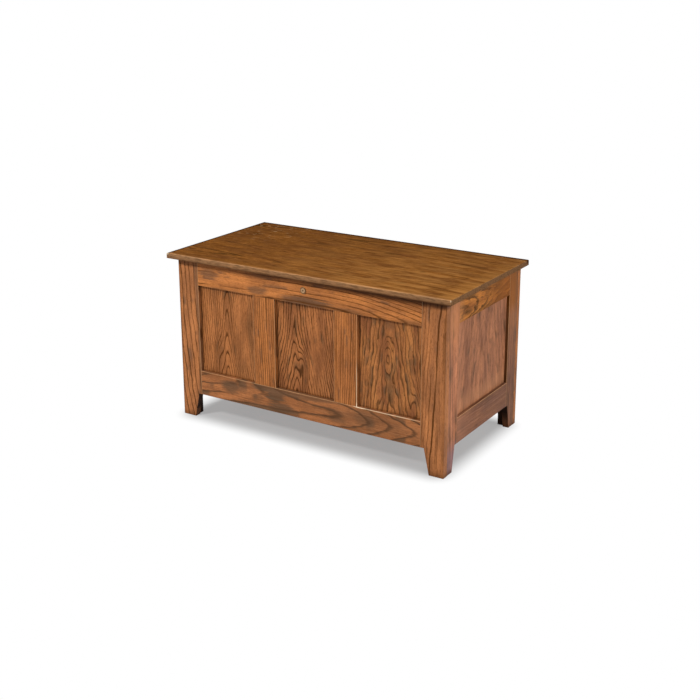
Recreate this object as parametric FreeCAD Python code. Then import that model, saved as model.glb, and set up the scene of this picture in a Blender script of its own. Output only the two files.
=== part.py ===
"""Oak blanket chest: frame-and-panel carcase on tapered feet, with a hinged lid and a cam lock.

Millimetres. +X runs along the front to the right, +Y to the back, +Z up.
The origin is the centre of the whole chest's footprint, on the floor.
Each frame is built flat, with its outer face on y = 0, and is then stood in its place.
"""
import FreeCAD, Part
import math
import os

V = FreeCAD.Vector

# ---- carcase -------------------------------------------------------------
body_w = 1030.0           # over the side frames
body_d = 534.0            # front face to back face
body_h = 568.0            # floor to the top of the stiles

front_t = 24.0            # thickness of each frame's stock
side_t = 22.0
back_t = 19.0

front_stile_w = 83.5      # the back frame's stiles are as wide
side_stile_w = 64.0
rail_w = 87.0
mullion_w = 87.0
foot_h = 87.0             # underside of the bottom rails

front_foot_top_w = 70.0   # foot below its shoulder, on the front and the back
front_foot_toe_w = 51.0   # and at the floor
side_foot_top_w = 50.0
side_foot_toe_w = 34.0

front_bays = 3            # panels in each frame
back_bays = 2
side_bays = 1
panel_t = 6.0
front_recess = 12.0       # frame face to panel face
side_recess = 10.0
back_recess = 8.0
panel_fit = 0.2           # groove width beyond the panel's thickness
panel_play = 1.0          # room for the panel to move at its sides and top
groove_depth = 10.0
tenon_l = 30.0
tenon_haunch = 14.0
mortise_room = 1.0        # glue room past a tenon's end

arris_r = 1.5             # eased edges

# ---- inside --------------------------------------------------------------
floor_t = 12.0
floor_play = 1.0
cleat_w = 20.0
cleat_z = 95.0
long_cleat_screws = 4
short_cleat_screws = 2
cleat_screw_inset = 60.0
block_w = 24.0            # square corner block behind each foot

# ---- lid -----------------------------------------------------------------
lid_t = 19.0
lid_over = 27.0           # past the front and the sides; flush at the back
lid_gap = 0.3             # lid's underside above the stiles
lid_boards = 4
lid_back_board_w = 129.0  # the others share the rest equally
lid_top_r = 3.5           # round-over along the top edge
batten_w = 60.0
batten_t = 18.0
batten_inset = 190.0      # from the carcase's inner side face to the centre line
batten_end_gap = 20.0     # short of the carcase's inner front and back faces
batten_screws = 5
batten_screw_inset = 20.0

# ---- hinges --------------------------------------------------------------
hinge_inset = 60.0        # from the back stile's inner edge to the outer hinges' middle
hinge_l = 76.0
leaf_t = 1.8
leaf_margin = 4.0         # wood left between a leaf's edge and the back frame's inner face
knuckle_r = 3.5
knuckle_stand = 0.4       # barrel clear of the back face
knuckle_count = 5
knuckle_gap = 0.3
pin_r = 1.8
pin_fit = 0.05            # running clearance in the lid's knuckles
pin_head_r = 2.9
pin_head_t = 1.5
leaf_screws = 3

# ---- screws --------------------------------------------------------------
screw_r = 1.75
screw_head_r = 3.4
screw_point_l = 4.0
screw_fit = 0.05
recess_l = 3.6            # cross recess in the head
recess_w = 0.7
recess_d = 1.1
leaf_screw_l = 15.0
batten_screw_bite = 11.0  # into the second board
cleat_screw_bite = 14.0

# ---- lock ----------------------------------------------------------------
lock_drop = 39.0          # below the top of the rail
bezel_r = 11.0
bezel_t = 2.0
housing_r = 9.2
housing_fit = 0.1
nut_across = 24.0
nut_t = 4.0
housing_past_nut = 1.0
plug_r = 6.3
plug_fit = 0.05
plug_recess = 0.4         # plug face below the bezel's face
key_slot_w = 1.8
key_slot_l = 8.4
key_slot_d = 9.0
cam_seat = 8.0            # square end of the plug that carries the cam
cam_t = 2.0
cam_w = 14.0
cam_reach = 30.0
cam_gap = 0.3
cam_screw_r = 2.0
cam_screw_l = 9.0
cam_screw_head_r = 4.8
cam_screw_head_t = 2.2

# ---- strike --------------------------------------------------------------
strike_t = 2.0
strike_side_gap = 7.0     # to the right of the upright cam
strike_w = 22.0
strike_under_cam = 1.0
strike_nose = 1.3         # lip's front edge ahead of the cam
strike_web_gap = 6.2      # web behind the cam
strike_foot = 24.0
strike_screws = 2

# ---- places worked out from the sizes ------------------------------------
hinge_reach = knuckle_stand + 2 * knuckle_r
front_y = lid_over - (lid_over + body_d + hinge_reach) / 2
back_y = front_y + body_d
side_x = body_w / 2
side_len = body_d - front_t - back_t
opening_bottom = foot_h + rail_w
opening_top = body_h - rail_w
groove_w = panel_t + panel_fit
cleat_top = cleat_z + cleat_w
lid_bottom = body_h + lid_gap
lid_top = lid_bottom + lid_t
pin_y = back_y + knuckle_stand + knuckle_r
pin_z = body_h + lid_gap / 2
leaf_w = back_t - leaf_margin
hinge_x = side_x - front_stile_w - hinge_inset
hinge_xs = [-hinge_x, 0.0, hinge_x]
batten_x = side_x - side_t - batten_inset
batten_screw_l = batten_t + batten_screw_bite
cleat_screw_l = cleat_w + cleat_screw_bite
lock_z = body_h - lock_drop
lock_end = front_y + front_t + nut_t + housing_past_nut
cam_y = lock_end + cam_gap


def block(x, y, z):
    """Box between the two limits given for each axis."""
    return Part.makeBox(x[1] - x[0], y[1] - y[0], z[1] - z[0], V(x[0], y[0], z[0]))


def prism(points, depth):
    """Outline in the XZ plane at y = 0, pushed back by depth."""
    corners = [V(x, 0, z) for x, z in points]
    return Part.Face(Part.makePolygon(corners + corners[:1])).extrude(V(0, depth, 0))


def on_plane(edge, axis, value):
    return all(abs(getattr(v.Point, axis) - value) < 1e-6 for v in edge.Vertexes)


def runs_along(edge, axis):
    start, end = [getattr(v.Point, axis) for v in edge.Vertexes]
    return abs(start - end) > 1e-6


def ease(shape, wanted, radius):
    """Round the edges that wanted(edge) picks."""
    return shape.makeFillet(radius, [e for e in shape.Edges if wanted(e)])


def bar(start, direction, radius, length):
    return Part.makeCylinder(radius, length, start, direction)


# ---- frames, each flat with its outer face on y = 0 -----------------------
def stile(length, width, thick, recess, toe, top, hand):
    """One stile with its tapered foot; hand is -1 for the left end of the frame, 1 for the right."""
    edge = length / 2
    outline = [(edge, 0), (edge - toe, 0), (edge - top, foot_h), (edge - width, foot_h),
               (edge - width, body_h), (edge, body_h)]
    if hand < 0:
        outline = [(-x, z) for x, z in outline]
    board = prism(outline, thick)
    board = ease(board, lambda e: on_plane(e, "y", 0) and not on_plane(e, "z", body_h), arris_r)
    inner = edge - width
    depth = (recess, recess + groove_w)
    cuts = [((inner, inner + groove_depth), (opening_bottom - groove_depth, opening_top + groove_depth)),
            ((inner, inner + tenon_l + mortise_room), (foot_h + tenon_haunch, opening_bottom - groove_depth)),
            ((inner, inner + tenon_l + mortise_room), (opening_top + groove_depth, body_h - tenon_haunch))]
    for (near, far), height in cuts:
        span = (near, far) if hand > 0 else (-far, -near)
        board = board.cut(block(span, depth, height))
    return board


def rail(span, thick, recess, bottom):
    """Rail of the given length between its shoulders, grooved along its panel edge."""
    is_top = bottom > foot_h
    height = (bottom, bottom + rail_w)
    depth = (recess, recess + panel_t)
    board = block((-span / 2, span / 2), (0, thick), height)
    panel_edge = height[0] if is_top else height[1]
    board = ease(board, lambda e: on_plane(e, "y", 0) and runs_along(e, "x")
                 and not on_plane(e, "z", body_h), arris_r)
    if is_top:
        groove = (panel_edge, panel_edge + groove_depth)
        tenon = (height[0] + groove_depth, height[1] - tenon_haunch)
    else:
        groove = (panel_edge - groove_depth, panel_edge)
        tenon = (height[0] + tenon_haunch, height[1] - groove_depth)
    board = board.cut(block((-span / 2, span / 2), (recess, recess + groove_w), groove))
    for side in (-1, 1):
        ends = sorted((side * span / 2, side * (span / 2 + tenon_l)))
        board = board.fuse(block(ends, depth, tenon))
    return board.removeSplitter()


def mullion(centre, thick, recess):
    """Upright between the rails, grooved on both sides, with a stub tenon at each end."""
    left, right = centre - mullion_w / 2, centre + mullion_w / 2
    board = block((left, right), (0, thick), (opening_bottom, opening_top))
    board = ease(board, lambda e: on_plane(e, "y", 0) and runs_along(e, "z"), arris_r)
    for groove in ((left, left + groove_depth), (right - groove_depth, right)):
        board = board.cut(block(groove, (recess, recess + groove_w), (opening_bottom, opening_top)))
    stub = block((left + groove_depth, right - groove_depth), (recess, recess + panel_t),
                 (opening_bottom - groove_depth, opening_top + groove_depth))
    return board.fuse(stub).removeSplitter()


def panel(left, right, recess):
    """Flat panel for the opening between left and right, standing in the bottom rail's groove."""
    tongue = groove_depth - panel_play
    return block((left - tongue, right + tongue), (recess, recess + panel_t),
                 (opening_bottom - groove_depth, opening_top + tongue))


def frame(length, width, thick, recess, toe, top, bays):
    """A whole frame: its stiles, rails, mullions and panels, from left to right."""
    span = length - 2 * width
    bay = (span - (bays - 1) * mullion_w) / bays
    starts = [-span / 2 + i * (bay + mullion_w) for i in range(bays)]
    return {
        "stiles": [stile(length, width, thick, recess, toe, top, hand) for hand in (-1, 1)],
        "rails": [rail(span, thick, recess, z) for z in (foot_h, opening_top)],
        "mullions": [mullion(s + bay + mullion_w / 2, thick, recess) for s in starts[:-1]],
        "panels": [panel(s, s + bay, recess) for s in starts],
    }


def stand(pieces, turn, place):
    """Turn a flat frame about Z and stand it with its outer face's centre at place."""
    def moved(shape):
        shape = shape.copy()
        shape.rotate(V(0, 0, 0), V(0, 0, 1), turn)
        shape.translate(place)
        return shape
    return {kind: [moved(s) for s in shapes] for kind, shapes in pieces.items()}


def carcase():
    """The four frames in their places."""
    front = frame(body_w, front_stile_w, front_t, front_recess, front_foot_toe_w, front_foot_top_w,
                  front_bays)
    back = frame(body_w, front_stile_w, back_t, back_recess, front_foot_toe_w, front_foot_top_w,
                 back_bays)
    side = frame(side_len, side_stile_w, side_t, side_recess, side_foot_toe_w, side_foot_top_w,
                 side_bays)
    middle_y = front_y + front_t + side_len / 2
    front = stand(front, 0, V(0, front_y, 0))
    back = stand(back, 180, V(0, back_y, 0))
    right = stand(side, 90, V(side_x, middle_y, 0))
    left = stand(side, -90, V(-side_x, middle_y, 0))
    nodes = {}
    names = [("front", front, ("left", "right"), ("left", "right"), ("left", "centre", "right")),
             ("back", back, ("right", "left"), ("centre",), ("right", "left")),
             ("right", right, ("front", "back"), (), ("side",)),
             ("left", left, ("back", "front"), (), ("side",))]
    for word, pieces, ends, middles, bays in names:
        for end, shape in zip(ends, pieces["stiles"]):
            nodes[f"{word}_frame_{end}_stile"] = shape
        for level, shape in zip(("bottom", "top"), pieces["rails"]):
            nodes[f"{word}_frame_{level}_rail"] = shape
        for middle, shape in zip(middles, pieces["mullions"]):
            nodes[f"{word}_frame_{middle}_mullion"] = shape
        for bay, shape in zip(bays, pieces["panels"]):
            nodes[f"{word}_frame_{bay}_panel"] = shape
    return nodes


# ---- screws ---------------------------------------------------------------
def screw_body(length, grow):
    """Countersunk screw along -Z from its flat head at the origin, grown by a clearance."""
    head_h = screw_head_r - screw_r
    point_z = -(length - screw_point_l) - grow
    profile = [V(0, 0, 0), V(screw_head_r + grow, 0, 0), V(screw_r + grow, 0, -head_h),
               V(screw_r + grow, 0, point_z), V(0, 0, -length - grow)]
    face = Part.Face(Part.makePolygon(profile + profile[:1]))
    return face.revolve(V(0, 0, 0), V(0, 0, 1), 360)


def put_screw(length, place, direction, grow=0.0):
    """Screw whose head's face is at place and whose point looks along direction.

    With a clearance it is the hole for that screw, and has no recess.
    """
    shape = screw_body(length, grow)
    if not grow:
        for turn in (0, 90):
            slot = block((-recess_l / 2, recess_l / 2), (-recess_w / 2, recess_w / 2), (-recess_d, 0))
            slot.rotate(V(0, 0, 0), V(0, 0, 1), turn)
            shape = shape.cut(slot)
    turn = FreeCAD.Rotation(V(0, 0, -1), direction)
    shape.Placement = FreeCAD.Placement(place, turn).multiply(shape.Placement)
    return shape


def screws(length, places, direction):
    return Part.makeCompound([put_screw(length, p, direction) for p in places])


def drill(shape, length, places, direction):
    for place in places:
        shape = shape.cut(put_screw(length, place, direction, screw_fit))
    return shape


def spread(first, last, count):
    return [first + (last - first) * i / (count - 1) for i in range(count)]


# ---- floor and cleats ------------------------------------------------------
def inside_limits():
    """The carcase's inner faces: x limits and y limits."""
    return (-side_x + side_t, side_x - side_t), (front_y + front_t, back_y - back_t)


def floor_board():
    (x0, x1), (y0, y1) = inside_limits()
    return block((x0 + floor_play, x1 - floor_play), (y0 + floor_play, y1 - floor_play),
                 (cleat_top, cleat_top + floor_t))


def leg_blocks():
    """A square block in each inner corner, from the floor to the underside of the floor board."""
    (x0, x1), (y0, y1) = inside_limits()
    ends = {"left": (x0, x0 + block_w), "right": (x1 - block_w, x1)}
    depths = {"front": (y0, y0 + block_w), "back": (y1 - block_w, y1)}
    return {f"leg_block_{d}_{e}": block(ends[e], depths[d], (0, cleat_top))
            for d in depths for e in ends}


def cleats():
    """Four cleats between the leg blocks, with where each one's screws go and their direction."""
    (x0, x1), (y0, y1) = inside_limits()
    height = (cleat_z, cleat_top)
    screw_z = cleat_z + cleat_w / 2
    run_x = (x0 + block_w, x1 - block_w)
    run_y = (y0 + block_w, y1 - block_w)
    xs = spread(run_x[0] + cleat_screw_inset, run_x[1] - cleat_screw_inset, long_cleat_screws)
    ys = spread(run_y[0] + cleat_screw_inset, run_y[1] - cleat_screw_inset, short_cleat_screws)
    return {
        "front": (block(run_x, (y0, y0 + cleat_w), height),
                  [V(x, y0 + cleat_w, screw_z) for x in xs], V(0, -1, 0)),
        "back": (block(run_x, (y1 - cleat_w, y1), height),
                 [V(x, y1 - cleat_w, screw_z) for x in xs], V(0, 1, 0)),
        "left": (block((x0, x0 + cleat_w), run_y, height),
                 [V(x0 + cleat_w, y, screw_z) for y in ys], V(-1, 0, 0)),
        "right": (block((x1 - cleat_w, x1), run_y, height),
                  [V(x1 - cleat_w, y, screw_z) for y in ys], V(1, 0, 0)),
    }


# ---- lid -------------------------------------------------------------------
def lid_slab():
    """The whole lid with its edges worked, before it is divided into boards."""
    x = body_w / 2 + lid_over
    slab = block((-x, x), (front_y - lid_over, back_y), (lid_bottom, lid_top))
    slab = ease(slab, lambda e: on_plane(e, "z", lid_top), lid_top_r)
    return ease(slab, lambda e: on_plane(e, "z", lid_bottom) and not on_plane(e, "y", back_y), arris_r)


def lid_board_shapes():
    """The boards that are glued edge to edge, from the front to the back."""
    slab = lid_slab()
    limits = spread(front_y - lid_over, back_y - lid_back_board_w, lid_boards) + [back_y]
    x = body_w / 2 + lid_over
    return [slab.common(block((-x, x), (a, b), (lid_bottom, lid_top)))
            for a, b in zip(limits, limits[1:])]


def batten_run():
    """The battens' limits from front to back."""
    y0, y1 = inside_limits()[1]
    return y0 + batten_end_gap, y1 - batten_end_gap


def batten_places():
    """Screw heads' places on the battens' undersides."""
    y0, y1 = batten_run()
    ys = spread(y0 + batten_screw_inset, y1 - batten_screw_inset, batten_screws)
    return {side: [V(side * batten_x, y, lid_bottom - batten_t) for y in ys] for side in (-1, 1)}


def batten(side):
    x = side * batten_x
    board = block((x - batten_w / 2, x + batten_w / 2), batten_run(), (lid_bottom - batten_t, lid_bottom))
    return ease(board, lambda e: on_plane(e, "z", lid_bottom - batten_t), arris_r)


# ---- hinges ----------------------------------------------------------------
def leaf_seat(x, low, high):
    """The recess that a leaf is let into."""
    return block((x - hinge_l / 2, x + hinge_l / 2), (back_y - leaf_w, back_y), (low, high))


def hinge_leaf(x, on_lid):
    """A leaf with its share of the knuckles: three on the body's leaf, two on the lid's."""
    low = lid_bottom if on_lid else body_h - leaf_t
    leaf = leaf_seat(x, low, low + leaf_t)
    pitch = hinge_l / knuckle_count
    bore_r = pin_r + pin_fit if on_lid else pin_r
    bores = []
    for i in range(1 if on_lid else 0, knuckle_count, 2):
        start = x - hinge_l / 2 + i * pitch + (knuckle_gap / 2 if i else 0)
        end = x - hinge_l / 2 + (i + 1) * pitch - (knuckle_gap / 2 if i < knuckle_count - 1 else 0)
        neck = block((start, end), (back_y, pin_y), (low, low + leaf_t))
        knuckle = bar(V(start, pin_y, pin_z), V(1, 0, 0), knuckle_r, end - start)
        leaf = leaf.fuse(neck).fuse(knuckle)
        bores.append(bar(V(start, pin_y, pin_z), V(1, 0, 0), bore_r, end - start))
    for bore in bores:
        leaf = leaf.cut(bore)
    return leaf.removeSplitter()


def hinge_pin(x):
    """Pin held in the body's knuckles, with a button head at each end."""
    start = V(x - hinge_l / 2, pin_y, pin_z)
    shaft = bar(start, V(1, 0, 0), pin_r, hinge_l)
    left = bar(start - V(pin_head_t, 0, 0), V(1, 0, 0), pin_head_r, pin_head_t)
    right = bar(start + V(hinge_l, 0, 0), V(1, 0, 0), pin_head_r, pin_head_t)
    return shaft.fuse(left).fuse(right).removeSplitter()


def leaf_screw_places(z):
    inset = hinge_l / (2 * leaf_screws)
    return [V(x + dx, back_y - leaf_w / 2, z) for x in hinge_xs
            for dx in spread(-hinge_l / 2 + inset, hinge_l / 2 - inset, leaf_screws)]


# ---- lock, along +Y from the front face -------------------------------------
def lock_housing():
    """Threaded barrel through the top rail, with a round bezel on the front."""
    out = V(0, 1, 0)
    face = V(0, front_y - bezel_t, lock_z)
    bezel = bar(face, out, bezel_r, bezel_t)
    bezel = ease(bezel, lambda e: on_plane(e, "y", face.y), bezel_t / 2)
    barrel = bar(V(0, front_y, lock_z), out, housing_r, lock_end - front_y)
    bore = bar(face, out, plug_r + plug_fit, lock_end - face.y)
    return bezel.fuse(barrel).cut(bore).removeSplitter()


def lock_nut():
    """Hexagon nut that draws the housing up against the rail's inner face."""
    corners = []
    for i in range(6):
        angle = math.radians(60 * i + 30)
        reach = nut_across / 2 / math.cos(math.radians(30))
        corners.append((reach * math.cos(angle), reach * math.sin(angle)))
    nut = prism(corners, nut_t)
    nut.translate(V(0, front_y + front_t, lock_z))
    return nut.cut(bar(V(0, front_y + front_t, lock_z), V(0, 1, 0), housing_r, nut_t))


def lock_plug():
    """Turning plug with an upright key slot in front and a square seat for the cam behind."""
    start = front_y - bezel_t + plug_recess
    plug = bar(V(0, start, lock_z), V(0, 1, 0), plug_r, cam_y - start)
    seat = block((-cam_seat / 2, cam_seat / 2), (cam_y, cam_y + cam_t),
                 (lock_z - cam_seat / 2, lock_z + cam_seat / 2))
    slot = block((-key_slot_w / 2, key_slot_w / 2), (start, start + key_slot_d),
                 (lock_z - key_slot_l / 2, lock_z + key_slot_l / 2))
    tapped = bar(V(0, cam_y + cam_t - cam_screw_l, lock_z), V(0, 1, 0), cam_screw_r, cam_screw_l)
    return plug.fuse(seat).cut(slot).cut(tapped).removeSplitter()


def lock_cam():
    """Flat arm that points up when the lock is open."""
    reach = cam_reach - cam_w / 2
    arm = block((-cam_w / 2, cam_w / 2), (cam_y, cam_y + cam_t), (lock_z, lock_z + reach))
    for z in (lock_z, lock_z + reach):
        arm = arm.fuse(bar(V(0, cam_y, z), V(0, 1, 0), cam_w / 2, cam_t))
    hole = block((-cam_seat / 2, cam_seat / 2), (cam_y, cam_y + cam_t),
                 (lock_z - cam_seat / 2, lock_z + cam_seat / 2))
    return arm.cut(hole).removeSplitter()


def lock_cam_screw():
    seat_y = cam_y + cam_t
    shank = bar(V(0, seat_y - cam_screw_l, lock_z), V(0, 1, 0), cam_screw_r, cam_screw_l)
    head = bar(V(0, seat_y, lock_z), V(0, 1, 0), cam_screw_head_r, cam_screw_head_t)
    head = ease(head, lambda e: on_plane(e, "y", seat_y + cam_screw_head_t), cam_screw_head_t / 3)
    for across, up in ((recess_l, recess_w), (recess_w, recess_l)):
        head = head.cut(block((-across / 2, across / 2),
                              (seat_y + cam_screw_head_t - recess_d, seat_y + cam_screw_head_t),
                              (lock_z - up / 2, lock_z + up / 2)))
    return shank.fuse(head).removeSplitter()


def strike_limits():
    """Strike's x limits, the front of its lip, the front of its web, and the lip's top."""
    near = cam_w / 2 + strike_side_gap
    lip_top = lock_z - cam_w / 2 - strike_under_cam
    return (near, near + strike_w), cam_y - strike_nose, cam_y + cam_t + strike_web_gap, lip_top


def strike_screw_places():
    span, _, web_y, _ = strike_limits()
    inset = strike_w / 4
    y = web_y + strike_t + (strike_foot - strike_t) / 2
    return [V(x, y, lid_bottom - strike_t) for x in spread(span[0] + inset, span[1] - inset, strike_screws)]


def strike():
    """Bent bracket under the lid: a foot, a web, and a lip that the turned cam stands over."""
    span, lip_y, web_y, lip_top = strike_limits()
    foot = block(span, (web_y, web_y + strike_foot), (lid_bottom - strike_t, lid_bottom))
    web = block(span, (web_y, web_y + strike_t), (lip_top - strike_t, lid_bottom))
    lip = block(span, (lip_y, web_y + strike_t), (lip_top - strike_t, lip_top))
    return foot.fuse(web).fuse(lip).removeSplitter()


# ---- everything together ------------------------------------------------------
def build():
    nodes = carcase()
    nodes["floor_board"] = floor_board()
    nodes.update(leg_blocks())

    cleat_groups = []
    for side, (shape, places, way) in cleats().items():
        nodes[f"{side}_cleat"] = drill(shape, cleat_screw_l, places, way)
        rail_name = f"{side}_frame_bottom_rail"
        nodes[rail_name] = drill(nodes[rail_name], cleat_screw_l, places, way)
        cleat_groups += [put_screw(cleat_screw_l, p, way) for p in places]
    nodes["cleat_screws"] = Part.makeCompound(cleat_groups)

    boards = lid_board_shapes()
    places = batten_places()
    for side, word in ((-1, "left"), (1, "right")):
        nodes[f"lid_batten_{word}"] = drill(batten(side), batten_screw_l, places[side], V(0, 0, 1))
        boards = [drill(b, batten_screw_l, places[side], V(0, 0, 1)) for b in boards]
    nodes["batten_screws"] = screws(batten_screw_l, places[-1] + places[1], V(0, 0, 1))

    top_rail = nodes["back_frame_top_rail"]
    low_places = leaf_screw_places(body_h)
    high_places = leaf_screw_places(lid_bottom)
    pins = []
    for x, word in zip(hinge_xs, ("left", "centre", "right")):
        top_rail = top_rail.cut(leaf_seat(x, body_h - leaf_t, body_h))
        boards[-1] = boards[-1].cut(leaf_seat(x, lid_bottom, lid_bottom + leaf_t))
        lower = hinge_leaf(x, False)
        upper = hinge_leaf(x, True)
        nodes[f"hinge_{word}_body_leaf"] = drill(lower, leaf_screw_l, low_places, V(0, 0, -1))
        nodes[f"hinge_{word}_lid_leaf"] = drill(upper, leaf_screw_l, high_places, V(0, 0, 1))
        pins.append(hinge_pin(x))
    nodes["back_frame_top_rail"] = drill(top_rail, leaf_screw_l, low_places, V(0, 0, -1))
    boards[-1] = drill(boards[-1], leaf_screw_l, high_places, V(0, 0, 1))
    nodes["hinge_pins"] = Part.makeCompound(pins)
    nodes["hinge_body_screws"] = screws(leaf_screw_l, low_places, V(0, 0, -1))

    strike_places = strike_screw_places()
    nodes["lock_strike"] = drill(strike(), leaf_screw_l, strike_places, V(0, 0, 1))
    boards = [drill(b, leaf_screw_l, strike_places, V(0, 0, 1)) for b in boards]
    nodes["hinge_lid_screws"] = screws(leaf_screw_l, high_places, V(0, 0, 1))
    nodes["strike_screws"] = screws(leaf_screw_l, strike_places, V(0, 0, 1))
    for i, board in enumerate(boards):
        nodes[f"lid_board_{i + 1}"] = board

    lock_hole = bar(V(0, front_y, lock_z), V(0, 1, 0), housing_r + housing_fit, front_t)
    nodes["front_frame_top_rail"] = nodes["front_frame_top_rail"].cut(lock_hole)
    nodes["lock_housing"] = lock_housing()
    nodes["lock_nut"] = lock_nut()
    nodes["lock_plug"] = lock_plug()
    nodes["lock_cam"] = lock_cam()
    nodes["lock_cam_screw"] = lock_cam_screw()
    return nodes


def main():
    os.makedirs("parts", exist_ok=True)
    for name, shape in build().items():
        shape.exportStep(f"parts/{name}.step")


main()
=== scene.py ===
import math
import random
from collections import namedtuple
from dataclasses import dataclass

import bpy
from mathutils import Matrix, Vector


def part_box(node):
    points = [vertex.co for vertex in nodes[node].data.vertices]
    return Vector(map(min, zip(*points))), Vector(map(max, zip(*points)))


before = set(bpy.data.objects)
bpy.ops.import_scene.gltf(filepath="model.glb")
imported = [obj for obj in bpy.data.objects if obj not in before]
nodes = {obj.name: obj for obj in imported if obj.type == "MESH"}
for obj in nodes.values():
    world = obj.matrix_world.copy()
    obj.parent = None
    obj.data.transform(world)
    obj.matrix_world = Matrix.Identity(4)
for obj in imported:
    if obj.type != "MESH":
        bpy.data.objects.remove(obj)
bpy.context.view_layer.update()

# ---- small helpers ------------------------------------------------------------
MM = 1000.0               # object coordinates are metres, and every pattern is worked out in millimetres
SMOOTH = {"interpolation_type": "SMOOTHSTEP"}      # a Map Range node that eases in and out
COLOURS = {"data_type": "RGBA", "out": 2}          # a Mix node of colours, which are its inputs 6 and 7


def linear(colour):
    """sRGB hex to linear RGBA."""
    parts = [int(colour[i:i + 2], 16) / 255 for i in (1, 3, 5)]
    return tuple(c / 12.92 if c <= 0.04045 else ((c + 0.055) / 1.055) ** 2.4 for c in parts) + (1.0,)


def add(tree, kind, inputs, out=0, **settings):
    """Add a node with its settings, link or set its inputs, and give back one of its outputs."""
    made = tree.nodes.new(kind)
    for key, value in settings.items():
        setattr(made, key, value)
    for key, value in inputs.items():
        if isinstance(value, bpy.types.NodeSocket):
            tree.links.new(value, made.inputs[key])
        else:
            made.inputs[key].default_value = value
    return made.outputs[out] if made.outputs else made


def new_material(name):
    """An empty material and its node tree."""
    material = bpy.data.materials.new(name)
    material.use_nodes = True
    material.node_tree.nodes.clear()
    return material, material.node_tree


def set_curve(output, points):
    """Lay a Float Curve node's curve through the points, which run from 0 to 1 both ways."""
    curve = output.node.mapping.curves[0]
    for place, (x, y) in zip(curve.points, (points[0], points[-1])):
        place.location = (x, y)
    for x, y in points[1:-1]:
        curve.points.new(x, y)
    output.node.mapping.update()


def paint(name, material):
    """Give every slot of a carried-over node this material."""
    for slot in nodes[name].material_slots:
        slot.material = material


# ---- patterns: noise drawn out along the grain -----------------------------------------
# Length along the grain and width across it in mm, how finely it breaks up, how far a board's seed
# moves it, and where it starts to show and where it is full, since noise keeps near 0.5.
Pattern = namedtuple("Pattern", "length across detail drift shows", defaults=((0, 0, 0), None))

WARP = Pattern(190.0, 55.0, 2.0, (7.13, 3.71, 1.37))     # the trunk's slow wobbles
FLAME = Pattern(42.0, 13.0, 1.5, (2.9, 4.1, 0))          # small ripples that make the arches jagged
UPTAKE = Pattern(130.0, 18.0, 3.0, (3.3, 1, 0.7), (0.36, 0.58))     # pores that take more or less stain
BLOTCH = Pattern(150.0, 42.0, 3.0, (1.9, 5.3, 0), (0.38, 0.62))     # where all the wood takes more or less
STREAK = Pattern(200.0, 4.2, 3.0, (1, 0, 0))             # bundles of pores that read as fine lines
SIDE_STREAK = Pattern(320.0, 4.5, 3.0, (1, 0, 0))
LID_STREAK = Pattern(48.0, 6.5, 3.0, (1, 0, 0))          # the lid's are filled; drawn wide, so that they show
PORE = Pattern(18.0, 1.8, 1.0)                           # 0.3 mm across; drawn coarser, so that they show
RAY = Pattern(7.0, 1.5, 0.0, (5.3, 9.1, 2.7), (0.58, 0.70))         # ends of the rays: short dark dashes
LID_LIGHT_STREAKS = Pattern(130.0, 26.0, 3.0, (4.1, 2.2, 0), (0.4, 0.6))     # streaks in the painted light on the lid's top
FLECK = Pattern(30.0, 12.0, 2.0, (2.3, 1.1, 0), (0.61, 0.68))       # pale flecks on the lid's top
SCRAPE = Pattern(28.0, 4.5, 3.0)                         # streaks of wear along the lid's edges
BLOCK_STREAKS = Pattern(60.0, 2.5, 3.0, shows=(0.35, 0.75))    # faint streaks in the blocks' painted shade
CEDAR_WAVE = Pattern(260.0, 45.0, 2.0)                   # the cedar's wavy years
CEDAR_SAP = Pattern(420.0, 34.0, 2.0, (3.1, 7.7, 0), (0.58, 0.64))  # its streaks of sapwood
CEDAR_FINE = Pattern(60.0, 1.6, 1.0, shows=(0.3, 0.7))   # its fine fibres
FINER = 0.6               # how strong the finer noise within each pattern is


def along_grain(tree, point, pattern, seed=1.0, levels=(0.0, 1.0), out="Fac"):
    """A pattern's noise; where it has a start and a full, it runs between the levels."""
    drawn = add(tree, "ShaderNodeVectorMath",
                {0: point, 1: (1 / pattern.length, 1 / pattern.across, 1 / pattern.across),
                 2: tuple(seed * drift for drift in pattern.drift)}, operation="MULTIPLY_ADD")
    noise = add(tree, "ShaderNodeTexNoise", {"Vector": drawn, "Scale": 1.0, "Detail": pattern.detail,
                                             "Roughness": FINER}, out=out)
    if pattern.shows is None:
        return noise
    return add(tree, "ShaderNodeMapRange",
               {"Value": noise, "From Min": pattern.shows[0], "From Max": pattern.shows[1],
                "To Min": levels[0], "To Max": levels[1]})
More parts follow.
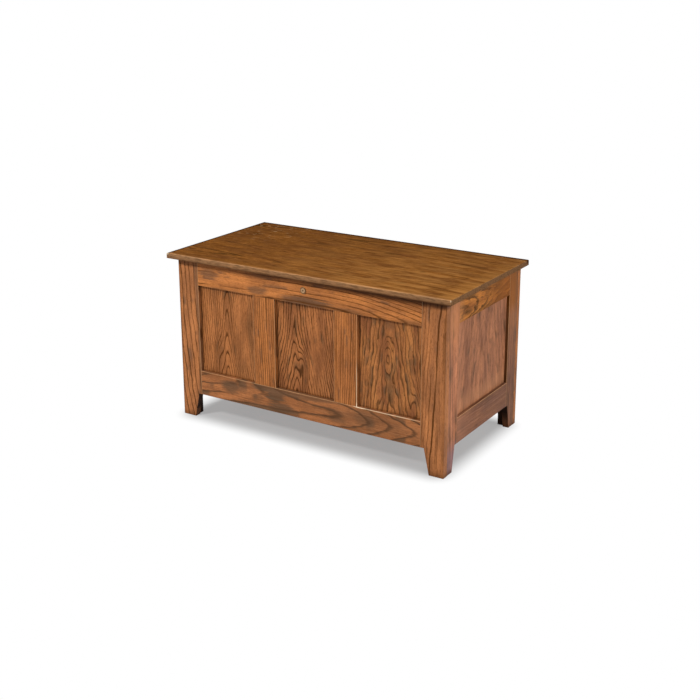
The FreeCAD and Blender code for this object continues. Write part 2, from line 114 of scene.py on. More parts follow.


# ---- red oak: flat-sawn boards, dark stain wiped on and off, satin lacquer over it ------------
# Gives the eye: thin dark lines of open pores where each year's early wood starts abruptly, between
# smooth orange late wood; arches and tongues where a board cuts the years almost level; grey-brown
# patches where the stain stayed; fine streaks along the grain everywhere; pale rubbed edges with a
# painted highlight, and dark corners and recesses that are painted shade.
STAINS = {   # late wood, its second shade, grey-brown patches, lines of pores, lacquer's shine
    "front": ("#BC7842", "#9B6238", "#6A4B36", "#522F10", 0.06),
    "stile": ("#AE7145", "#8E5C3A", "#674A37", "#502E12", 0.05),
    "panel": ("#A86C40", "#865532", "#5D432C", "#492709", 0.05),
    "deep": ("#A66A3F", "#835232", "#54402C", "#41240A", 0.05),
    "wild": ("#A96F40", "#825132", "#5A4531", "#452A12", 0.05),
    "mullion": ("#AE6F3F", "#905B36", "#684A37", "#4C2D10", 0.05),
    "low": ("#A96D44", "#895837", "#5A4433", "#4E3018", 0.05),
    "side": ("#A87152", "#855943", "#5E4636", "#4B2E1A", 0.03),
    "post": ("#B87B5B", "#9A6850", "#6C503F", "#543722", 0.03),
    "golden": ("#B57334", "#8F5728", "#62421C", "#452A0C", 0.03),
    "dull": ("#8A5E46", "#765040", "#5E4435", "#4C3424", 0.03),
    "lid": ("#865628", "#724825", "#4E3920", "#3C260F", 0.0),
    "inner": ("#AF7444", "#9C6840", "#84593A", "#6A3E20", 0.12),
}
CENTRE_SPAN = 200.0       # mm: the most that the pith may lie to either side of the board's middle
RISE_SPAN = 100.0         # mm: the most that the years may climb or sink along a board
YEARS_VARY = 0.6          # how often the spacing of the years changes, per year
LINE_SOLID = 0.2          # share of a line's width before it fades
NEXT_LINE = 0.92          # share of a year after which the next line starts to darken
RIM_WOBBLE = (0.3, 0.7, 0.35)      # over this part of the streaks' noise a rim moves so far in and out
PLAIN_RIM = (0.6, 1.1)    # where an oval spot starts to fade, and where it ends: 1 is on its oval
PATCH_RIM = (0.55, 1.1)
EYE_RIM = (0.0, 1.0)
CHIP_RIM = (0.5, 1.0)
PATCH_LENGTH = 105.0      # mm along the grain
PATCH_SHOWS = (0.62, 0.72)         # where its noise starts to show and is full, for a board with no murk
MURK_GAIN = 0.16          # how much lower those are for a murk of 1
PATCH_THINS = (0.25, 0.15)         # after this share of a year a patch thins, down to this
PATCH_BLEEDS = (0.1, 0.5)          # over this part of a year a patch drops to the figure's bleed
NEXT_YEAR = 3.37          # moves the patches' noise from one year to the next
PORES_SHOW = (0.58, 0.44, 0.08)    # noise between the lines and on them where pores show, and their edge
PATCH_DARK = 0.85         # how much of its colour each layer lays on
PORE_DARK = 0.45
RAY_DARK = 0.28
STREAKED = (0.32, 0.68)   # the streaks' noise where they are palest and darkest
STREAK_SHADES = ((0.19, 0.17, 0.13), (-0.28, -0.35, -0.45))   # what a streak adds to red, green and blue
OAK_IOR = 1.5             # lacquer
LACQUER_ROUGH = (0.42, 0.62)       # on the lacquer, and in an open pore
PORE_DEPTH = 0.00012      # metres: open pores that the lacquer doesn't fill


@dataclass(frozen=True)
class Figure:
    """How the years lie in one board and how the stain took.

    Places are in the board's own axes, in mm from the middle of its face: u along the grain, v across.
    """
    year: float               # mm from one year's line to the next
    rise: tuple               # (u, how far the years have climbed there)
    centre: tuple             # (u, v) of the pith
    seed: float               # moves the noise, so that boards differ
    near: float = 40.0        # depth of the pith behind the face
    steep: float = 1.0        # how fast the years spread sideways
    start: float = 0.0        # share of a year by which the count is moved
    sway: float = 8.0         # mm that the trunk wobbles
    flame: float = 1.5        # mm that the arches are jagged
    uneven: float = 0.5       # how much the years' widths vary
    faint: float = 0.4        # the palest line, and the darkest
    bold: float = 1.0
    thin: float = 0.2         # the narrowest line as a share of its year, and the widest
    thick: float = 0.45
    starved: float = 0.72     # what is left of a line where its pores took little stain
    ragged: float = 0.08      # share of a year by which the streaks fray the lines
    ink: float = 0.9          # colour of the lines, from the patches' at 0 to the pores' at 1
    murk: float = 0.5         # how many grey-brown patches come by chance
    lined: float = 1.0        # strength of the fine streaks
    streak: Pattern = STREAK
    bleed: float = 0.5        # how much of a patch crosses its year
    eyes: tuple = ()          # bumps in the years: (u, v, reach_u, reach_v, height)
    patches: tuple = ()       # grey-brown: (u, v, reach_u, reach_v, amount), fully so at 1 or more
    plains: tuple = ()        # where the lines fade by the amount, or are bolder for a negative one


def face_frame(grain, face):
    """The board's own axes: u along the grain, v across the face, w out of it, as matrix rows."""
    u, w = Vector(grain), Vector(face)
    return Matrix((u, w.cross(u), w))


def reach(name, axis):
    """Half of the node's size along an axis, in metres."""
    low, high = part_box(name)
    return sum(abs(axis[i]) * (high[i] - low[i]) / 2 for i in range(3))


def middle_of(name):
    """The middle of a node's box, in metres."""
    low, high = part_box(name)
    return (Vector(low) + Vector(high)) / 2


def board_point(tree, name, axes):
    """A point of the board in its own axes, in mm from the middle of its face."""
    face_middle = middle_of(name) + axes[2] * reach(name, axes[2])
    point = add(tree, "ShaderNodeTexCoord", {}, out="Object")
    return add(tree, "ShaderNodeMapping", {"Vector": point, "Location": -(axes @ face_middle) * MM,
                                           "Scale": (MM, MM, MM), "Rotation": axes.to_euler()})


def oval_fade(tree, point, spot, rim, ragged=None):
    """A spot's amount, fading to nothing around its oval.

    spot is (u, v, reach_u, reach_v, amount). The distance from (u, v), with each axis over its reach, is
    1 on the oval; rim gives the distances where the fade starts and ends, and ragged adds to it.
    """
    u, v, reach_u, reach_v, amount = spot
    away = add(tree, "ShaderNodeVectorMath",
               {0: point, 1: (1 / reach_u, 1 / reach_v, 0), 2: (-u / reach_u, -v / reach_v, 0)},
               operation="MULTIPLY_ADD")
    away = add(tree, "ShaderNodeVectorMath", {0: away}, out="Value", operation="LENGTH")
    if ragged is not None:
        away = add(tree, "ShaderNodeMath", {0: away, 1: ragged}, operation="ADD")
    return add(tree, "ShaderNodeMapRange", {"Value": away, "From Min": rim[0], "From Max": rim[1],
                                            "To Min": amount, "To Max": 0.0}, **SMOOTH)


def bend_point(tree, board, figure):
    """Move the point across the grain by the trunk's slow wobble, whose noise is 0.5 in the middle."""
    sway = 2 * figure.sway
    wobble = along_grain(tree, board, WARP, figure.seed, out="Color")
    moved = add(tree, "ShaderNodeVectorMath", {0: wobble, 1: (0, sway, sway / 2), 2: board},
                operation="MULTIPLY_ADD")
    return add(tree, "ShaderNodeVectorMath", {0: moved, 1: (0, -sway / 2, -sway / 4)}, operation="ADD")


def ring_radius(tree, bent, length, figure):
    """How far out in the trunk the point lies, in mm from the year that touches the face.

    The distance to the pith, less the pith's depth, plus a climb along the board. An eye adds a
    smooth bump, and small ripples make the arches jagged.
    """
    parts = add(tree, "ShaderNodeSeparateXYZ", {0: bent}).node.outputs
    along = add(tree, "ShaderNodeMapRange", {"Value": parts[0], "From Min": -length / 2,
                                             "From Max": length / 2})
    rise = add(tree, "ShaderNodeFloatCurve", {"Value": along})
    set_curve(rise, [(u / length + 0.5, r / RISE_SPAN / 2 + 0.5) for u, r in figure.rise])
    centre = add(tree, "ShaderNodeFloatCurve", {"Value": along})
    set_curve(centre, [(u / length + 0.5, v / CENTRE_SPAN / 2 + 0.5) for u, v in figure.centre])

    inward = add(tree, "ShaderNodeMath", {0: parts[2], 1: figure.near}, operation="ADD")
    aside = add(tree, "ShaderNodeMath", {0: centre, 1: -2 * CENTRE_SPAN, 2: CENTRE_SPAN},
                operation="MULTIPLY_ADD")
    aside = add(tree, "ShaderNodeMath", {0: aside, 1: parts[1]}, operation="ADD")
    aside = add(tree, "ShaderNodeMath", {0: aside, 1: figure.steep}, operation="MULTIPLY")
    spoke = add(tree, "ShaderNodeCombineXYZ", {0: inward, 1: aside})
    radius = add(tree, "ShaderNodeVectorMath", {0: spoke}, out="Value", operation="LENGTH")
    climb = add(tree, "ShaderNodeMath", {0: rise, 1: 2 * RISE_SPAN, 2: -RISE_SPAN - figure.near},
                operation="MULTIPLY_ADD")
    radius = add(tree, "ShaderNodeMath", {0: radius, 1: climb}, operation="ADD")
    for eye in figure.eyes:
        bump = oval_fade(tree, bent, eye, EYE_RIM)
        radius = add(tree, "ShaderNodeMath", {0: radius, 1: bump}, operation="ADD")
    flame = along_grain(tree, bent, FLAME, figure.seed)
    return add(tree, "ShaderNodeMath", {0: flame, 1: 2 * figure.flame, 2: radius},
               operation="MULTIPLY_ADD")


def count_years(tree, radius, streak, figure):
    """Where the point lies in its year, from 0 at the year's line to 1 at the next, and which year it is."""
    count = add(tree, "ShaderNodeMath", {0: radius, 1: 1 / figure.year, 2: figure.start},
                operation="MULTIPLY_ADD")
    uneven = add(tree, "ShaderNodeTexNoise", {"W": count, "Scale": YEARS_VARY, "Detail": 1.0},
                 noise_dimensions="1D")
    for noise, amount in ((uneven, figure.uneven), (streak, figure.ragged)):
        count = add(tree, "ShaderNodeMath", {0: noise, 1: amount, 2: count}, operation="MULTIPLY_ADD")
    place = add(tree, "ShaderNodeMath", {0: count}, operation="FRACT")
    year = add(tree, "ShaderNodeMath", {0: count}, operation="FLOOR")
    return place, add(tree, "ShaderNodeMath", {0: year, 1: figure.seed}, operation="ADD")


def year_lines(tree, bent, place, year, ragged, figure):
    """Each year starts with a dark line that fades outwards; how dark and how wide differs by year."""
    chances = add(tree, "ShaderNodeTexWhiteNoise", {"W": year}, out="Color", noise_dimensions="1D")
    chances = add(tree, "ShaderNodeSeparateXYZ", {0: chances}).node.outputs
    weight = add(tree, "ShaderNodeMapRange", {"Value": chances[0], "To Min": figure.faint,
                                              "To Max": figure.bold})
    width = add(tree, "ShaderNodeMapRange", {"Value": chances[1], "To Min": figure.thin,
                                             "To Max": figure.thick})
    fade = add(tree, "ShaderNodeMath", {0: place, 1: width}, operation="DIVIDE")
    fall = add(tree, "ShaderNodeMapRange", {"Value": fade, "From Min": LINE_SOLID, "To Min": 1.0,
                                            "To Max": 0.0}, **SMOOTH)
    start = add(tree, "ShaderNodeMapRange", {"Value": place, "From Min": NEXT_LINE})
    line = add(tree, "ShaderNodeMath", {0: fall, 1: start}, operation="MAXIMUM")
    shares = [weight, along_grain(tree, bent, UPTAKE, figure.seed, (figure.starved, 1.0))]
    for plain in figure.plains:
        faded = oval_fade(tree, bent, plain, PLAIN_RIM, ragged)
        shares.append(add(tree, "ShaderNodeMath", {0: 1.0, 1: faded}, operation="SUBTRACT"))
    for share in shares:
        line = add(tree, "ShaderNodeMath", {0: line, 1: share}, operation="MULTIPLY")
    return line


def stain_patches(tree, bent, place, year, ragged, figure):
    """Grey-brown patches: by chance within one year each, and the figure's own across several."""
    drawn = add(tree, "ShaderNodeVectorMath", {0: bent, 1: (1 / PATCH_LENGTH, 0, 0)},
                operation="MULTIPLY")
    lift = add(tree, "ShaderNodeMath", {0: year, 1: NEXT_YEAR}, operation="MULTIPLY")
    lift = add(tree, "ShaderNodeCombineXYZ", {1: lift})
    drawn = add(tree, "ShaderNodeVectorMath", {0: drawn, 1: lift}, operation="ADD")
    patch = add(tree, "ShaderNodeTexNoise", {"Vector": drawn, "Scale": 1.0, "Detail": 2.0})
    start, full = (shows - MURK_GAIN * figure.murk for shows in PATCH_SHOWS)
    patch = add(tree, "ShaderNodeMapRange", {"Value": patch, "From Min": start, "From Max": full}, **SMOOTH)
    thins = add(tree, "ShaderNodeMapRange", {"Value": place, "From Min": PATCH_THINS[0], "To Min": 1.0,
                                             "To Max": PATCH_THINS[1]})
    patch = add(tree, "ShaderNodeMath", {0: patch, 1: thins}, operation="MULTIPLY")
    bleed = add(tree, "ShaderNodeMapRange", {"Value": place, "From Min": PATCH_BLEEDS[0],
                                             "From Max": PATCH_BLEEDS[1], "To Min": 1.0,
                                             "To Max": figure.bleed})
    for spot in figure.patches:
        dark = oval_fade(tree, bent, spot, PATCH_RIM, ragged)
        dark = add(tree, "ShaderNodeMath", {0: dark, 1: bleed}, operation="MULTIPLY")
        patch = add(tree, "ShaderNodeMath", {0: patch, 1: dark}, operation="MAXIMUM")
    return patch


def oak(name, stain, grain, face, figure, marks):
    """Solid oak for one board.

    Years are shells about a pith that lies behind the face. All of it is worked out in the board's
    own axes, so the edges and ends match the faces. marks gives the board's marks of stain and wear,
    and its painted light and shade.
    """
    axes = face_frame(grain, face)
    length = 2 * MM * reach(name, axes[0])
    seed = figure.seed
    light, second, murky, early = (linear(c) for c in STAINS[stain][:4])
    ink = tuple(m + figure.ink * (e - m) for m, e in zip(murky, early))
    material, tree = new_material("oak_" + name)

    board = board_point(tree, name, axes)
    bent = bend_point(tree, board, figure)
    streak = along_grain(tree, bent, figure.streak, seed)
    low, high, wobble = RIM_WOBBLE
    ragged = add(tree, "ShaderNodeMapRange", {"Value": streak, "From Min": low, "From Max": high,
                                              "To Min": -wobble, "To Max": wobble})
    radius = ring_radius(tree, bent, length, figure)
    place, year = count_years(tree, radius, streak, figure)
    line = year_lines(tree, bent, place, year, ragged, figure)
    patch = stain_patches(tree, bent, place, year, ragged, figure)

    # pores crowd the lines and thin out between them
    between, on_line, edge = PORES_SHOW
    crowd = add(tree, "ShaderNodeMapRange", {"Value": line, "To Min": between, "To Max": on_line})
    pore = along_grain(tree, bent, PORE)
    pore = add(tree, "ShaderNodeMath", {0: pore, 1: crowd}, operation="SUBTRACT")
    pore = add(tree, "ShaderNodeMapRange", {"Value": pore, "From Min": 0.0, "From Max": edge})

    # from the lightest colour to the darkest: stain, streaks, pores and rays, marks
    patch = add(tree, "ShaderNodeMath", {0: patch, 1: PATCH_DARK}, operation="MULTIPLY")
    pored = add(tree, "ShaderNodeMath", {0: pore, 1: PORE_DARK}, operation="MULTIPLY")
    colour = light
    for amount, tint in ((along_grain(tree, board, BLOTCH, seed), second), (patch, murky), (line, ink)):
        colour = add(tree, "ShaderNodeMix", {0: amount, 6: colour, 7: tint}, **COLOURS)
    pale, dark = ([1 + depth * figure.lined for depth in shade] + [1] for shade in STREAK_SHADES)
    lined = add(tree, "ShaderNodeMapRange", {"Value": streak, "From Min": STREAKED[0],
                                             "From Max": STREAKED[1]})
    lined = add(tree, "ShaderNodeMix", {0: lined, 6: pale, 7: dark}, **COLOURS)
    colour = add(tree, "ShaderNodeMix", {0: 1.0, 6: colour, 7: lined}, blend_type="MULTIPLY", **COLOURS)
    ray = along_grain(tree, board, RAY, levels=(0.0, RAY_DARK))
    marked = [(amount, linear(tint)) for amount, tint in marks(tree, name, axes, board)]
    for amount, tint in [(pored, ink), (ray, ink)] + marked:
        colour = add(tree, "ShaderNodeMix", {0: amount, 6: colour, 7: tint}, **COLOURS)

    relief = add(tree, "ShaderNodeMath", {0: pore, 1: line}, operation="MULTIPLY")
    bump = add(tree, "ShaderNodeBump", {"Height": relief, "Distance": PORE_DEPTH, "Strength": 1.0},
               invert=True)
    rough = add(tree, "ShaderNodeMapRange", {"Value": relief, "To Min": LACQUER_ROUGH[0],
                                             "To Max": LACQUER_ROUGH[1]})
    shader = add(tree, "ShaderNodeBsdfPrincipled",
                 {"Base Color": colour, "Roughness": rough, "Normal": bump, "IOR": OAK_IOR,
                  "Specular IOR Level": STAINS[stain][4]})
    add(tree, "ShaderNodeOutputMaterial", {"Surface": shader})
    return material


# ---- marks of stain, wear, painted light and painted shade: lists of (amount, colour), laid on in turn ---
STAIN_AND_SHADE = "#452508"      # dark brown: stain drunk by end grain and beside arrises, and painted shade in the recesses
SHADE_BROWN = "#32190A"        # painted shade under the lid and at its lower front arris; also darkens the lid's left and back arrises
RUBBED_HIGHLIGHT = "#D2A274"        # pale: edges sanded through to paler wood, with a painted highlight on the arrises
CHIPPED_HIGHLIGHT = "#E2CBAA"       # pale: bare wood with a painted highlight, at the right panel's opening and the lid's front corners
# brushed black behind and inside the feet, so that it doesn't show
SHADE_BLACK = "#1A0F0A"   # near-black painted shade on the blocks behind the feet and inside the feet
LID_PAINTED_LIGHT = "#A8743C"    # the lid's top, lighter as painted light
FLECKED = "#B8936A"
UNDER_LID = "#7C5129"     # its underside, stained evenly
WORN_SHEEN_EDGE = "#866447"     # its edges, greyer than its top from wear and a painted sheen
GRIMY_EDGE = "#4E3826"

# how squarely a surface faces an axis where it starts to count as that face, and where it does fully
END_FACE = (0.8, 0.95)
EDGE_FACE = (0.8, 0.97)
OFF_FACE = (0.7, 0.95)    # where a surface turned to v starts to leave the front, and where it has left it
LID_EDGE_FACE = (0.75, 0.95)

# reaches in mm, and how much of the colour is laid on where a mark is fullest
END_DARK = 0.5
LID_SHADE = (27.0, 10.0)  # painted shade of the lid's overhang reaches so far below the lid, and is fullest so far
SHADE_SPAN = 0.3          # metres to either side of the chest's middle, over which the shade changes
LOW_DARK = (26.0, 0.62)      # how high the feet grow darker towards the floor, and how dark at the bottom
INNER_HALF = 0.4          # share of a board's half width by which it is fully its inner side
BESIDE = (13.0, 0.2)      # stain that the rag left beside the inner arrises
RUB_HIGHLIGHT = (2.6, 0.62)         # the inner arrises themselves, rubbed pale with a painted highlight
CORNER_DARK = 0.34        # a post's outer corner
FOOT_BLACK = 0.95         # inside a foot: painted shade, over the feet's own dark edges
FOOT_EDGE = 0.001         # metres above and below a foot's top over which that ends
FRAMED_SHADE = (7.0, 0.42)      # painted shade along a panel's edges, in the frame's recess
SIDE_FRAMED_SHADE = (3.5, 0.25)

# What differs on the side frames: the painted shade under the lid at the chest's left and right, the
# painted shade on the edge faces towards the panels, and how far the dark of a post's corner runs and its
# colour.
Darkening = namedtuple("Darkening", "shade reveal corner_reach corner_stain")
FRAME_DARKENING = Darkening((0.42, 0.88), 0.05, 12.0, STAIN_AND_SHADE)
SIDE_DARKENING = Darkening((0.42, 0.2), 0.7, 32.0, "#5A4638")    # greyer

# Where a board's colour changes along it: axis, where the tint starts and where it is full, in metres
# of the chest's own frame, then how much and its colour.
TINTS = {
    "right_frame_back_stile": (("Z", 0.33, 0.38, 0.3, "#B0703F"), ("Z", 0.40, 0.46, 0.85, "#7F4812")),
    "right_frame_front_stile": (("Z", 0.36, 0.52, 0.35, "#C98450"), ("Z", 0.12, 0.05, 0.55, "#74626F")),
    "right_frame_top_rail": (("Y", -0.12, -0.2, 0.5, "#D8925E"), ("Y", -0.06, 0.19, 0.7, "#7E4306")),
    "right_frame_bottom_rail": (("Y", -0.02, -0.2, 0.35, "#A87458"), ("Y", -0.03, 0.15, 0.3, "#664636")),
    "right_frame_side_panel": (("Y", -0.10, -0.18, 0.4, "#B98062"), ("Z", 0.25, 0.2, 0.25, "#BC835A")),
}
# Where the opening of the right panel is chipped to bare wood with a painted highlight, along the
# board's arris: (u, reach_u, reach_v, amount) in mm.
CHIP_HIGHLIGHTS = {
    "front_frame_bottom_rail": ((212, 30, 4.0, 0.9), (310, 150, 3.4, 0.5)),
    "front_frame_right_mullion": ((155, 22, 4.0, 0.8), (90, 110, 3.4, 0.45)),
}


def squareness(tree, axes):
    """How squarely the surface faces the board's u, v and w axes, from 0 to 1 each."""
    normal = add(tree, "ShaderNodeTexCoord", {}, out="Normal")
    turned = add(tree, "ShaderNodeMapping", {"Vector": normal, "Rotation": axes.to_euler()},
                 vector_type="NORMAL")
    square = add(tree, "ShaderNodeVectorMath", {0: turned}, operation="ABSOLUTE")
    return add(tree, "ShaderNodeSeparateXYZ", {0: square}).node.outputs


def inner_side(name, axes):
    """Which side of a frame's board faces the panels: 1 or -1 along v, or 0 for both."""
    if name.endswith("mullion"):
        return 0
    frame_middle = Vector((0, 0, middle_of("front_frame_centre_panel").z))
    return 1 if axes[1].dot(frame_middle - middle_of(name)) > 0 else -1


def chest_place(tree):
    """The point in the chest's own frame, as X, Y and Z in metres."""
    point = add(tree, "ShaderNodeTexCoord", {}, out="Object")
    return add(tree, "ShaderNodeSeparateXYZ", {0: point}).node.outputs


def board_tints(tree, name):
    """The slow changes of colour along a board."""
    place = chest_place(tree)
    return [(add(tree, "ShaderNodeMapRange", {"Value": place[axis], "From Min": start, "From Max": full,
                                              "To Max": amount}, **SMOOTH), tint)
            for axis, start, full, amount, tint in TINTS.get(name, ())]


def end_mark(tree, square):
    """End grain drinks more stain."""
    return (add(tree, "ShaderNodeMapRange", {"Value": square[0], "From Min": END_FACE[0],
                                             "From Max": END_FACE[1], "To Max": END_DARK}), STAIN_AND_SHADE)


def frame_marks(tree, name, axes, board):
    """A frame's board: tints, dark ends, painted shade under the lid, darker feet and a pale inner arris.

    Its inner arris carries a painted highlight. Posts and mullions have edge faces darkened as painted
    shade too, and a post has a dark corner and black painted shade inside its foot.
    """
    darkening = SIDE_DARKENING if name.startswith(("left", "right")) else FRAME_DARKENING
    square = squareness(tree, axes)
    parts = add(tree, "ShaderNodeSeparateXYZ", {0: board}).node.outputs
    place = chest_place(tree)
    half = MM * reach(name, axes[1])
    inner = inner_side(name, axes)
    if inner:
        inward = add(tree, "ShaderNodeMath", {0: parts[1], 1: inner}, operation="MULTIPLY")
    else:
        inward = add(tree, "ShaderNodeMath", {0: parts[1]}, operation="ABSOLUTE")
    marks = (board_tints(tree, name) + [end_mark(tree, square)] + shade_marks(tree, place, darkening)
             + arris_marks(tree, name, board, square, inward, half))
    if name.endswith("rail"):
        return marks

    on_inside = add(tree, "ShaderNodeMapRange", {"Value": inward, "From Max": half * INNER_HALF})
    edge_face = add(tree, "ShaderNodeMapRange", {"Value": square[1], "From Min": EDGE_FACE[0],
                                                 "From Max": EDGE_FACE[1]})
    edge_face = add(tree, "ShaderNodeMath", {0: edge_face, 1: on_inside}, operation="MULTIPLY")
    # painted shade on the edge faces towards the panels
    reveal = add(tree, "ShaderNodeMath", {0: edge_face, 1: darkening.reveal}, operation="MULTIPLY")
    marks.append((reveal, STAIN_AND_SHADE))
    if not inner:
        return marks
    outward = add(tree, "ShaderNodeMath", {0: inward, 1: half}, operation="ADD")
    return marks + post_marks(tree, outward, parts[2], edge_face, place["Z"], darkening)


def shade_marks(tree, place, darkening):
    """Painted shade under the lid's overhang, more so towards one end of the chest; feet darker at the floor.
    """
    lid_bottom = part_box("lid_board_1")[0][2]
    shade = add(tree, "ShaderNodeMapRange", {"Value": place["Z"],
                                             "From Min": lid_bottom - LID_SHADE[0] / MM,
                                             "From Max": lid_bottom - LID_SHADE[1] / MM}, **SMOOTH)
    shade_weight = add(tree, "ShaderNodeMapRange", {"Value": place["X"], "From Min": -SHADE_SPAN,
                                               "From Max": SHADE_SPAN, "To Min": darkening.shade[0],
                                               "To Max": darkening.shade[1]})
    shade = add(tree, "ShaderNodeMath", {0: shade, 1: shade_weight}, operation="MULTIPLY")
    near_floor = add(tree, "ShaderNodeMapRange", {"Value": place["Z"], "From Max": LOW_DARK[0] / MM,
                                               "To Min": LOW_DARK[1], "To Max": 0.0}, **SMOOTH)
    return [(shade, SHADE_BROWN), (near_floor, STAIN_AND_SHADE)]


def arris_marks(tree, name, board, square, inward, half):
    """Stain beside the inner arris, which is rubbed pale with a painted highlight, except on a top rail,
    and chipped with a painted highlight here and there.

    inward is the way from the board's middle to its inner arris, which lies half its width away.
    """
    to_edge = add(tree, "ShaderNodeMath", {0: half, 1: inward}, operation="SUBTRACT")
    beside, rubbed_highlight = (add(tree, "ShaderNodeMapRange", {"Value": to_edge, "From Max": far,
                                                       "To Min": amount, "To Max": 0.0})
                      for far, amount in (BESIDE, RUB_HIGHLIGHT))
    pale = [] if name.endswith("top_rail") else [(rubbed_highlight, RUBBED_HIGHLIGHT)]
    for u, reach_u, reach_v, amount in CHIP_HIGHLIGHTS.get(name, ()):
        pale.append((oval_fade(tree, board, (u, half, reach_u, reach_v, amount), CHIP_RIM), CHIPPED_HIGHLIGHT))
    on_face = add(tree, "ShaderNodeMapRange", {"Value": square[1], "From Min": OFF_FACE[0],
                                               "From Max": OFF_FACE[1], "To Min": 1.0, "To Max": 0.0})
    return [(beside, STAIN_AND_SHADE)] + [
        (add(tree, "ShaderNodeMath", {0: amount, 1: on_face}, operation="MULTIPLY"), tint)
        for amount, tint in pale]


def post_marks(tree, outward, depth, edge_face, height, darkening):
    """A post: a dark outer corner, as far as the sum of the two ways to it, and black painted shade in its
    foot.
    """
    outward = add(tree, "ShaderNodeMath", {0: outward}, operation="ABSOLUTE")
    depth = add(tree, "ShaderNodeMath", {0: depth}, operation="ABSOLUTE")
    away = add(tree, "ShaderNodeMath", {0: outward, 1: depth}, operation="ADD")
    corner = add(tree, "ShaderNodeMapRange", {"Value": away, "From Max": darkening.corner_reach,
                                              "To Min": CORNER_DARK, "To Max": 0.0}, **SMOOTH)
    foot_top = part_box("front_frame_bottom_rail")[0][2]
    in_foot = add(tree, "ShaderNodeMapRange", {"Value": height, "From Min": foot_top - FOOT_EDGE,
                                               "From Max": foot_top + FOOT_EDGE, "To Min": FOOT_BLACK,
                                               "To Max": 0.0})
    black = add(tree, "ShaderNodeMath", {0: edge_face, 1: in_foot}, operation="MULTIPLY")
    return [(corner, darkening.corner_stain), (black, SHADE_BLACK)]


def panel_marks(tree, name, axes, board):
    """A panel: tints, and painted shade within a few mm of the frame's opening."""
    parts = add(tree, "ShaderNodeSeparateXYZ", {0: board}).node.outputs
    nearest = None
    for part, (low, high) in zip(parts, panel_opening(name, axes)):
        middle = add(tree, "ShaderNodeMath", {0: part, 1: -(low + high) / 2}, operation="ADD")
        away = add(tree, "ShaderNodeMath", {0: middle}, operation="ABSOLUTE")
        away = add(tree, "ShaderNodeMath", {0: (high - low) / 2, 1: away}, operation="SUBTRACT")
        if nearest is not None:
            away = add(tree, "ShaderNodeMath", {0: away, 1: nearest}, operation="MINIMUM")
        nearest = away
    far, amount = SIDE_FRAMED_SHADE if name.endswith("side_panel") else FRAMED_SHADE
    framed_shade = add(tree, "ShaderNodeMapRange", {"Value": nearest, "From Max": far, "To Min": amount,
                                                "To Max": 0.0}, **SMOOTH)
    return board_tints(tree, name) + [(framed_shade, STAIN_AND_SHADE)]


def panel_opening(name, axes):
    """The part of a panel that its frame leaves bare: (low, high) along u and along v, in mm."""
    side = name.split("_")[0]
    frame_boards = [n for n in nodes if n.startswith(side + "_frame_") and not n.endswith("panel")]
    middle = middle_of(name)
    opening = []
    for k in (0, 1):
        half = MM * reach(name, axes[k])
        low, high = -half, half
        for board in frame_boards:
            gap = middle_of(board) - middle
            across = abs(gap.dot(axes[1 - k])) < reach(board, axes[1 - k]) + reach(name, axes[1 - k])
            if not across or board.endswith("rail") != (k == 0):
                continue
            at = MM * gap.dot(axes[k])
            near = abs(at) - MM * reach(board, axes[k])
            if at > 0:
                high = min(high, near)
            else:
                low = max(low, -near)
        opening.append((low, high))
    return opening


# ---- the lid's wear, painted light and painted shade ---------------------------------
# the axes to measure along, away from a line: a side of the lid, its front or back, an upright one
SIDE_LINE, FRONT_LINE, UPRIGHT = Vector((1, 0, 1)), Vector((0, 1, 1)), Vector((1, 1, 0))
# reaches in mm and amounts, as above
LID_TOP = (-6.0, -3.0)    # between these depths what belongs to its top comes in
LID_UNDER = (-16.0, -13.0)         # and what belongs to its underside goes
UNDER_EVEN = 0.4          # how much of the even colour the underside has
LID_LIGHT_REACH = (1050.0, 0.34)          # painted light: lighter towards the front right
LIGHT_STREAK_LEVELS = (0.1, 1.9)  # how far streaks lower and raise that
LID_RUB_HIGHLIGHT = (13.0, 0.14)    # the front arris's rubbed paleness and painted highlight, reaching onto the top
FLECK_REACHES = (420.0, 160.0, 120.0)      # from the back left, back right and front left corners
FLECK_PALE = 0.6
EDGE_GREYING = 0.7           # how grey the edges are, from wear and painted sheen
EDGE_GRIME = (0.40, 0.54, 0.85)    # the scrapes' noise where grime is full and where it ends, and its amount
END_GRIME = 0.4           # more of it on the end grain
ARRIS_PATCHY = (0.38, 0.6, 0.35)   # the scrapes' noise where the rubbed highlight fades most and least; what it leaves
FRONT_ARRIS = (2.86, 0.75)         # rubbed pale, with a painted highlight
RIGHT_ARRIS = (2.6, 0.2)
LEFT_DARK = (14.0, 0.9, 0.5)       # the left and back edges, with the share of the reach that is full
BACK_DARK = (20.0, 0.85, 0.6)
UNDER_EDGE = (8.0, 0.85)           # painted shade on the front edge's lower arris, less so towards the left
UNDER_EDGE_LEFT = 0.6
UNDER_EDGE_SPAN = 0.4     # metres to either side of the chest's middle, over which that changes
# the front right and front left corners, knocked pale with a painted highlight: how each axis counts, and the
# rest as above
RIGHT_KNOCK_HIGHLIGHT = (Vector((1, 1, 0.4)), 3.6, 0.7, 0.2)
LEFT_KNOCK_HIGHLIGHT = (Vector((0.5, 1, 0.6)), 7.0, 0.6, 0.2)


def near_line(tree, at, across, far, amount, full=0.0):
    """How much lies near the line, or corner, through at; across holds the axes to measure."""
    point = add(tree, "ShaderNodeTexCoord", {}, out="Object")
    offset = add(tree, "ShaderNodeVectorMath", {0: point, 1: across * MM, 2: -at * across * MM},
                 operation="MULTIPLY_ADD")
    away = add(tree, "ShaderNodeVectorMath", {0: offset}, out="Value", operation="LENGTH")
    return add(tree, "ShaderNodeMapRange", {"Value": away, "From Min": full * far, "From Max": far,
                                            "To Min": amount, "To Max": 0.0}, **SMOOTH)


